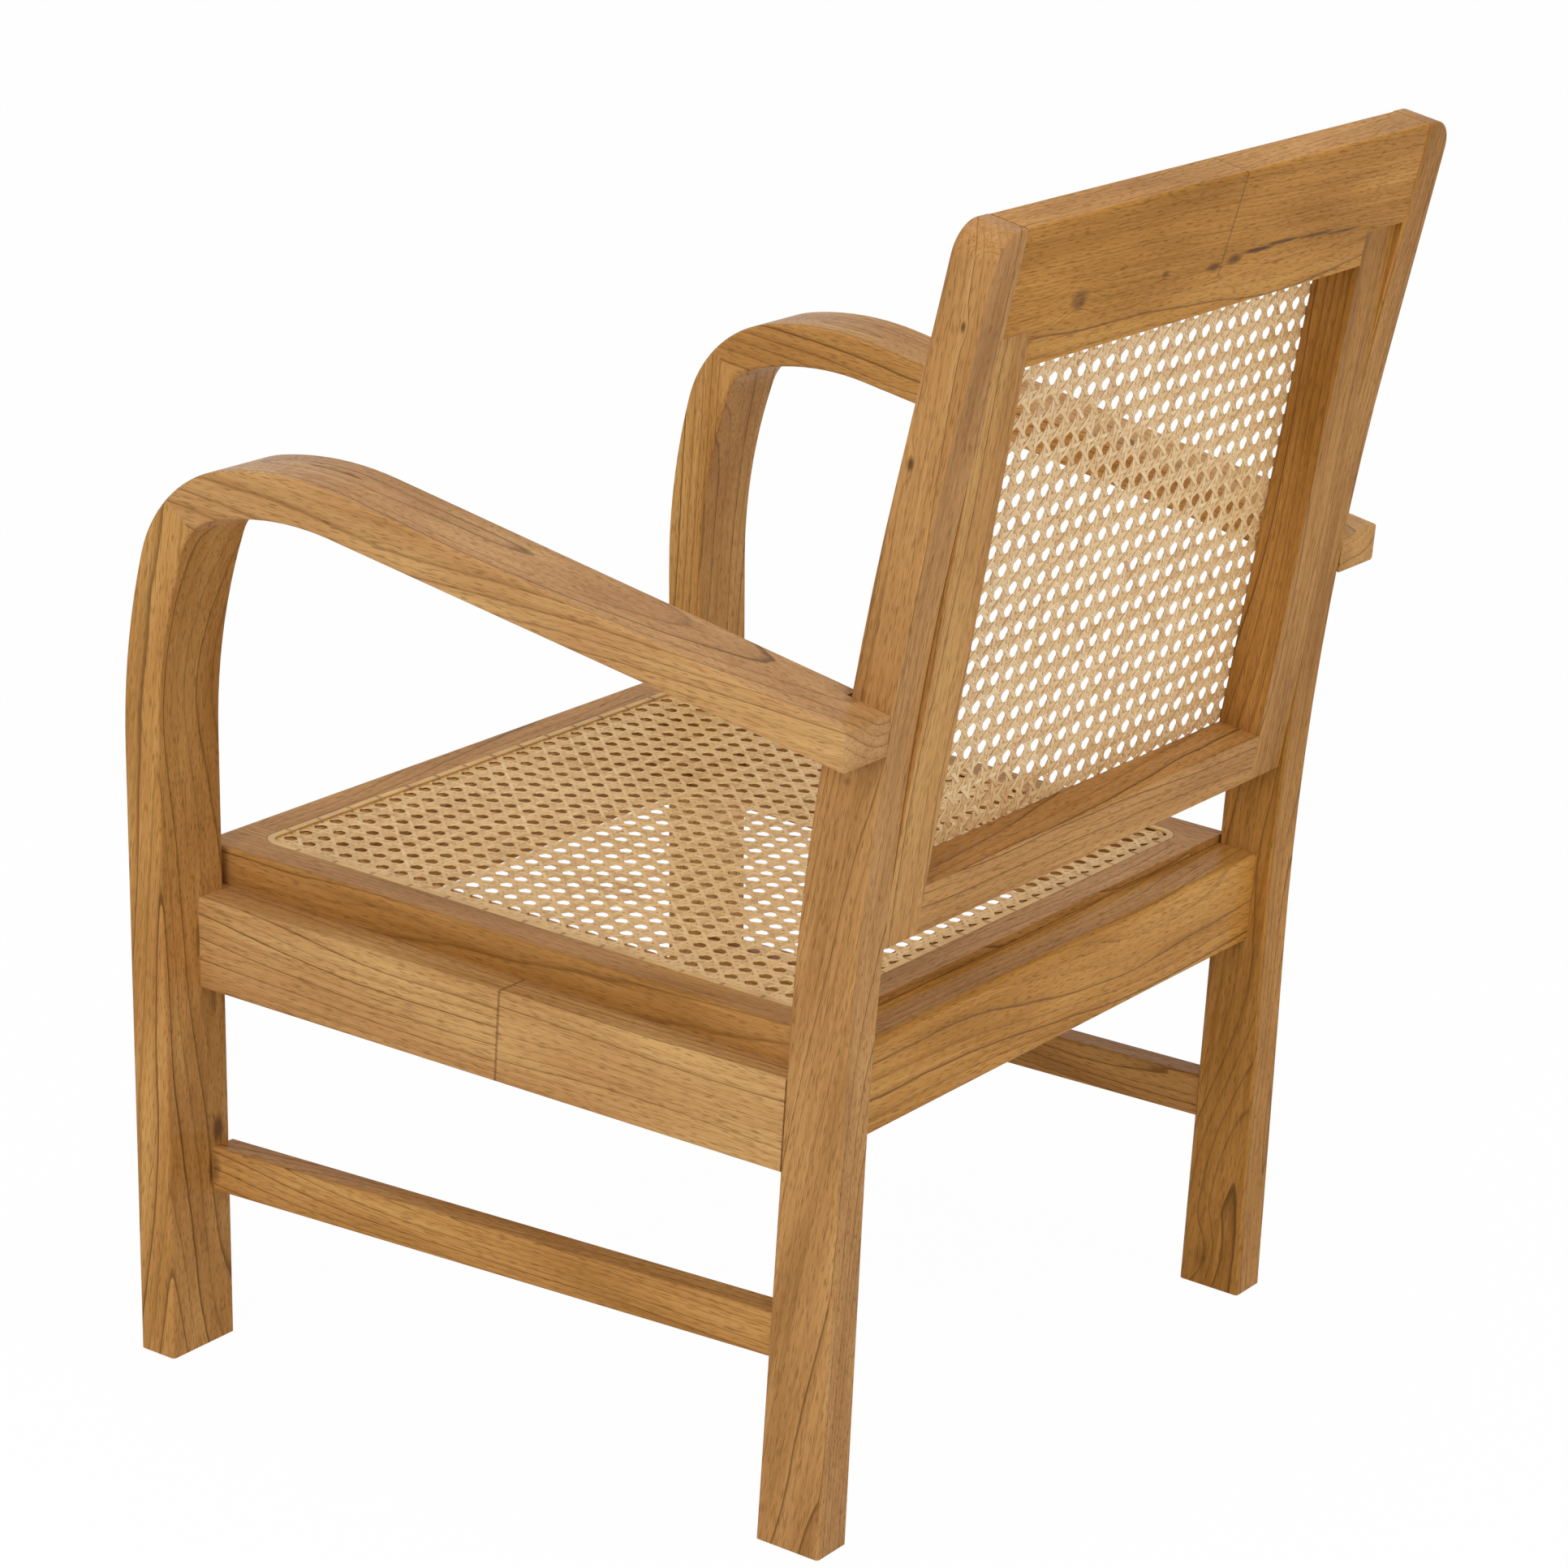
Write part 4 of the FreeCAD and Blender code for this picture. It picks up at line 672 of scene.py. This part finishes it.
def weave(part, family):
    """Weave one family of strands over a whole sheet."""
    sheet = SHEETS[part]
    piece = joined(hole_ribbons(family, sheet["pitch"]), f"{part}_cane_{family}")
    start = []
    for axis in (0, 1):
        pitch, hole = sheet["pitch"][axis], sheet["hole"][axis]
        before = math.ceil((hole - pitch / 2 - sheet["low"][axis]) / pitch)
        after = math.ceil((sheet["high"][axis] - hole - pitch / 2) / pitch)
        start.append(hole - before * pitch)
        repeat(piece, axis, pitch, before + after + 1, merge=True)
    put(piece, (*start, 0))

    for direction, clouds in zip("XY", drift_clouds):
        drift = piece.modifiers.new("drift", "DISPLACE")
        drift.texture = clouds
        drift.texture_coords = "LOCAL"
        drift.direction = direction
        drift.strength = DRIFT
        drift.mid_level = 0.5
        bpy.ops.object.modifier_apply(modifier=drift.name)

    cut_to_size(sheet)
    close_ends()
    put(piece, (0, 0, sheet["height"]))
    put(piece, sheet["place"], (sheet["lean"], 0, 0))
    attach(piece, "root")
    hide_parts(sheet["node"])
    print(piece.name, sum(len(p.vertices) - 2 for p in piece.data.polygons), "triangles")
    return piece


# %% [markdown]
# ## Split cane
# Cane is the skin of the rattan vine: pale straw, glossy where the skin is whole, with fine
# fibres along the strand, small brown scars, and a tone that changes from strand to strand. The
# colour of a strand comes from its number, which is counted across the family in real pitches, and
# its long edges are darkened with painted shade, for the shade between neighbouring strands.

# %% Place of a strand
FAMILY_COUNT = {"uprights": (2, 0), "crossers": (0, 2), "falling_diagonals": (1, 1),
                "rising_diagonals": (1, -1)}


def flat_places(tree, sheet):
    """Measure places in millimetres on the sheet as it was woven, flat."""
    place = add(tree, "TexCoord").outputs["Object"]
    return add(tree, "Mapping", {"Vector": place, "Location": sheet["place"],
                                 "Rotation": (sheet["lean"], 0, 0), "Scale": (MM, MM, MM)},
               vector_type="TEXTURE")


def strand_count(tree, flat, sheet, family):
    """Count across the strands. Give the count, and how much of it goes in a millimetre."""
    hole = (sheet["hole"][0] / MM, sheet["hole"][1] / MM, 0)
    centred = add(tree, "VectorMath", {0: flat, 1: hole}, operation="SUBTRACT")
    step = Vector([n * MM / pitch for n, pitch in zip(FAMILY_COUNT[family], sheet["pitch"])] + [0])
    count = add(tree, "VectorMath", {0: centred, 1: step}, operation="DOT_PRODUCT").outputs["Value"]
    return count, step.length


def strand_edge_shade(tree, count, rate, family):
    """Give 0 on a strand and half at its long edges, where shade is painted."""
    half_width = STRAND_WIDTH[family] / MM / 2 * rate
    middle = PAIR_OFFSET[family] / MM * rate if family in PAIR_OFFSET else 0.5
    away = add(tree, "Math", {0: count, 1: 0.5}, operation="PINGPONG")
    away = add(tree, "Math", {0: away, 1: middle}, operation="SUBTRACT")
    away = add(tree, "Math", {0: away}, operation="ABSOLUTE")
    return add(tree, "MapRange", {"Value": away, "From Min": half_width * 0.72,
                                  "From Max": half_width * 1.1, "To Max": 0.5},
               interpolation_type="SMOOTHSTEP")


# %% [markdown]
# ## The finish of a family
# Each family gets a finish of its own, because it is counted in its own direction. The seat's
# cane is darker than the back's, as in the photograph: its darker colours are painted shade.
# Fibres are about half a millimetre apart, scars some millimetres long, and patches of one tone
# some centimetres.

# %% Finish of the cane
# The seat's colours are darker than the back's by painted shade.
CANE = {"back": ("#F1D3A2", "#E3BC84", "#C6975E"), "seat": ("#E6C186", "#D3A96B", "#B2854A")}
CANE_SCAR, CANE_EDGE_SHADE = "#8C5E30", "#94642F"
PATCH_RATE, SCAR_RATE, FIBRE_RATE = 0.03, 0.16, 1.6
STRAND_SEED = 37.0


def split_cane(part, family):
    """Make the finish of one family of strands."""
    pale, straw, brown = CANE[part]
    finish, tree = new_finish(f"split_rattan_cane_{part}_{family}")
    flat = flat_places(tree, SHEETS[part])
    count, rate = strand_count(tree, flat, SHEETS[part], family)
    edge = strand_edge_shade(tree, count, rate, family)
    number = add(tree, "Math", {0: count}, operation="FLOOR")
    strand_tone = add(tree, "TexWhiteNoise", {"W": number}, noise_dimensions="1D")
    seed = add(tree, "Math", {0: number, 1: STRAND_SEED}, operation="MULTIPLY")
    patch = add(tree, "TexNoise", {"Vector": flat, "W": seed, "Scale": PATCH_RATE, "Detail": 3},
                noise_dimensions="4D")
    tone = add(tree, "Math", {0: strand_tone, 1: 0.45, 2: patch}, operation="MULTIPLY_ADD")
    tone = add(tree, "MapRange", {"Value": tone, "From Min": 0.35, "From Max": 1.15})
    scar = add(tree, "TexNoise", {"Vector": flat, "W": seed, "Scale": SCAR_RATE, "Detail": 1},
               noise_dimensions="4D")
    scar = add(tree, "MapRange", {"Value": scar, "From Min": 0.66, "From Max": 0.78, "To Max": 0.7})
    colour = add(tree, "ValToRGB", {"Fac": tone}, [(0, pale), (0.55, straw), (1, brown)])
    # The scars are the cane's own colour; the darker long edges are painted shade.
    for share, dark in ((scar, CANE_SCAR), (edge, CANE_EDGE_SHADE)):
        colour = add(tree, "Mix", {"Factor": share, "A": colour, "B": linear(dark)}, data_type="RGBA")
    fibre = add(tree, "TexNoise", {"Vector": flat, "Scale": FIBRE_RATE, "Detail": 2})
    sheen = add(tree, "MapRange", {"Value": fibre, "To Min": 0.3, "To Max": 0.6})
    bump = add(tree, "Bump", {"Strength": 0.15, "Distance": 0.2 * MM, "Height": fibre})
    skin = add(tree, "BsdfPrincipled", {"Base Color": colour, "Roughness": sheen, "IOR": 1.5,
                                        "Normal": bump})
    add(tree, "OutputMaterial", {"Surface": skin})
    return finish


# %% [markdown]
# ## Both sheets
# The back and the seat are woven the same way, one family of strands after the other. A woven
# family replaces the plain sheet of the CAD model that stood for it.

# %% Weave the back and the seat
for part in SHEETS:
    for family in FAMILY_COUNT:
        woven = weave(part, family)
        woven.data.materials.clear()
        woven.data.materials.append(split_cane(part, family))

# %% [markdown]
# ## Binder and reed
# The edge of the seat weave is covered by a binder, a flat strip of wider cane, and the back
# weave is held by a round reed pressed into its groove. Both keep their CAD shape, and get the
# fibres, about a millimetre apart, and the slow change of tone that cane has.

# %% Binder and reed
STRIP_TONE_RATE, STRIP_FIBRE_RATE = 0.028, 0.9


def cane_strip(name, pale, brown):
    """A strip of cane with fibres and a slow change of tone."""
    finish, tree = new_finish(name)
    place = add(tree, "TexCoord").outputs["Object"]
    slow = add(tree, "TexNoise", {"Vector": place, "Scale": STRIP_TONE_RATE / MM, "Detail": 4})
    colour = add(tree, "ValToRGB", {"Fac": slow}, [(0.3, pale), (0.7, brown)])
    fibre = add(tree, "TexNoise", {"Vector": place, "Scale": STRIP_FIBRE_RATE / MM, "Detail": 2})
    sheen = add(tree, "MapRange", {"Value": fibre, "To Min": 0.32, "To Max": 0.55})
    bump = add(tree, "Bump", {"Strength": 0.2, "Distance": 0.2 * MM, "Height": fibre})
    skin = add(tree, "BsdfPrincipled", {"Base Color": colour, "Roughness": sheen, "IOR": 1.5,
                                        "Normal": bump})
    add(tree, "OutputMaterial", {"Surface": skin})
    return finish


give(cane_strip("flat_cane_binder", "#DDB266", "#B98A48"), ["seat_cane_binding"])
give(cane_strip("round_reed_spline", "#D9B276", "#B98C52"), ["back_cane_spline"])

# %% [markdown]
# ## Glides and screws
# The chair stands on pale polyethylene glides, moulded with a soft, slightly waxy face that lets
# a little light in. The screws are steel with a thin, faintly cloudy coat of zinc. The clouds of
# both are some millimetres wide.

# %% Glides and screws
WAX_RATE, ZINC_RATE = 0.3, 0.4

glide, tree = new_finish("moulded_polyethylene_glide")
place = add(tree, "TexCoord").outputs["Object"]
cloud = add(tree, "TexNoise", {"Vector": place, "Scale": WAX_RATE / MM, "Detail": 2})
colour = add(tree, "ValToRGB", {"Fac": cloud}, [(0.3, "#D3D5D6"), (0.7, "#BFC2C4")])
plastic = add(tree, "BsdfPrincipled", {"Base Color": colour, "Roughness": 0.42, "IOR": 1.51,
                                       "Subsurface Weight": 0.15})
add(tree, "OutputMaterial", {"Surface": plastic})
give(glide, [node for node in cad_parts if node.startswith("foot_glide")])

screw, tree = new_finish("zinc_plated_steel_screw")
place = add(tree, "TexCoord").outputs["Object"]
cloud = add(tree, "TexNoise", {"Vector": place, "Scale": ZINC_RATE / MM, "Detail": 3})
colour = add(tree, "ValToRGB", {"Fac": cloud}, [(0.3, "#B9BABB"), (0.7, "#A5A6A4")])
sheen = add(tree, "MapRange", {"Value": cloud, "To Min": 0.28, "To Max": 0.45})
steel = add(tree, "BsdfPrincipled", {"Base Color": colour, "Metallic": 1, "Roughness": sheen})
add(tree, "OutputMaterial", {"Surface": steel})
give(screw, ["arm_screws", "seat_screws"])

# %% [markdown]
# ## Loops over the binder
# The binder strip is tied down at every second hole by a short loop of cane that comes up beside
# it, crosses it and goes down again. One loop is a ribbon whose ends dip, and a row of them is
# set along each side of the seat, away from the corners.

# %% Binder loops
LOOP_WIDTH = 2.6 * MM
LOOP_OVERHANG = 0.9 * MM
LOOP_RISE = 0.2 * MM
BINDER_WIDTH = 5 * MM
CORNER_SPACE = 20 * MM
LOOP_LINES = [(0, -1.1 * MM), (0.13, -0.3 * MM), (0.3, 0), (0.7, 0), (0.87, -0.3 * MM), (1, -1.1 * MM)]

low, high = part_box("seat_cane_binding")
middle = (low + high) / 2
loops = []
for run in (0, 1):
    side = 1 - run
    step = 2 * SHEETS["seat"]["pitch"][run]
    count = int((high[run] - low[run] - 2 * CORNER_SPACE) / step) + 1
    for edge in (low[side] + BINDER_WIDTH / 2, high[side] - BINDER_WIDTH / 2):
        first = Vector((0, 0, 0))
        first[run] = middle[run] - (count - 1) * step / 2
        first[side] = edge
        loop = ribbon(LOOP_WIDTH, BINDER_WIDTH + 2 * LOOP_OVERHANG, LOOP_LINES)
        put(loop, first, (0, 0, run * math.pi / 2))
        repeat(loop, run, step, count, merge=False)
        loops.append(loop)
tied = joined(loops, "seat_binder_loops")
put(tied, (0, 0, high.z + LOOP_RISE))
close_ends()
tied.data.materials.clear()
tied.data.materials.append(cane_strip("tied_cane_loops", "#B88A4C", "#855A2A"))
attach(tied, "root")
print(tied.name, len(tied.data.polygons), "faces")
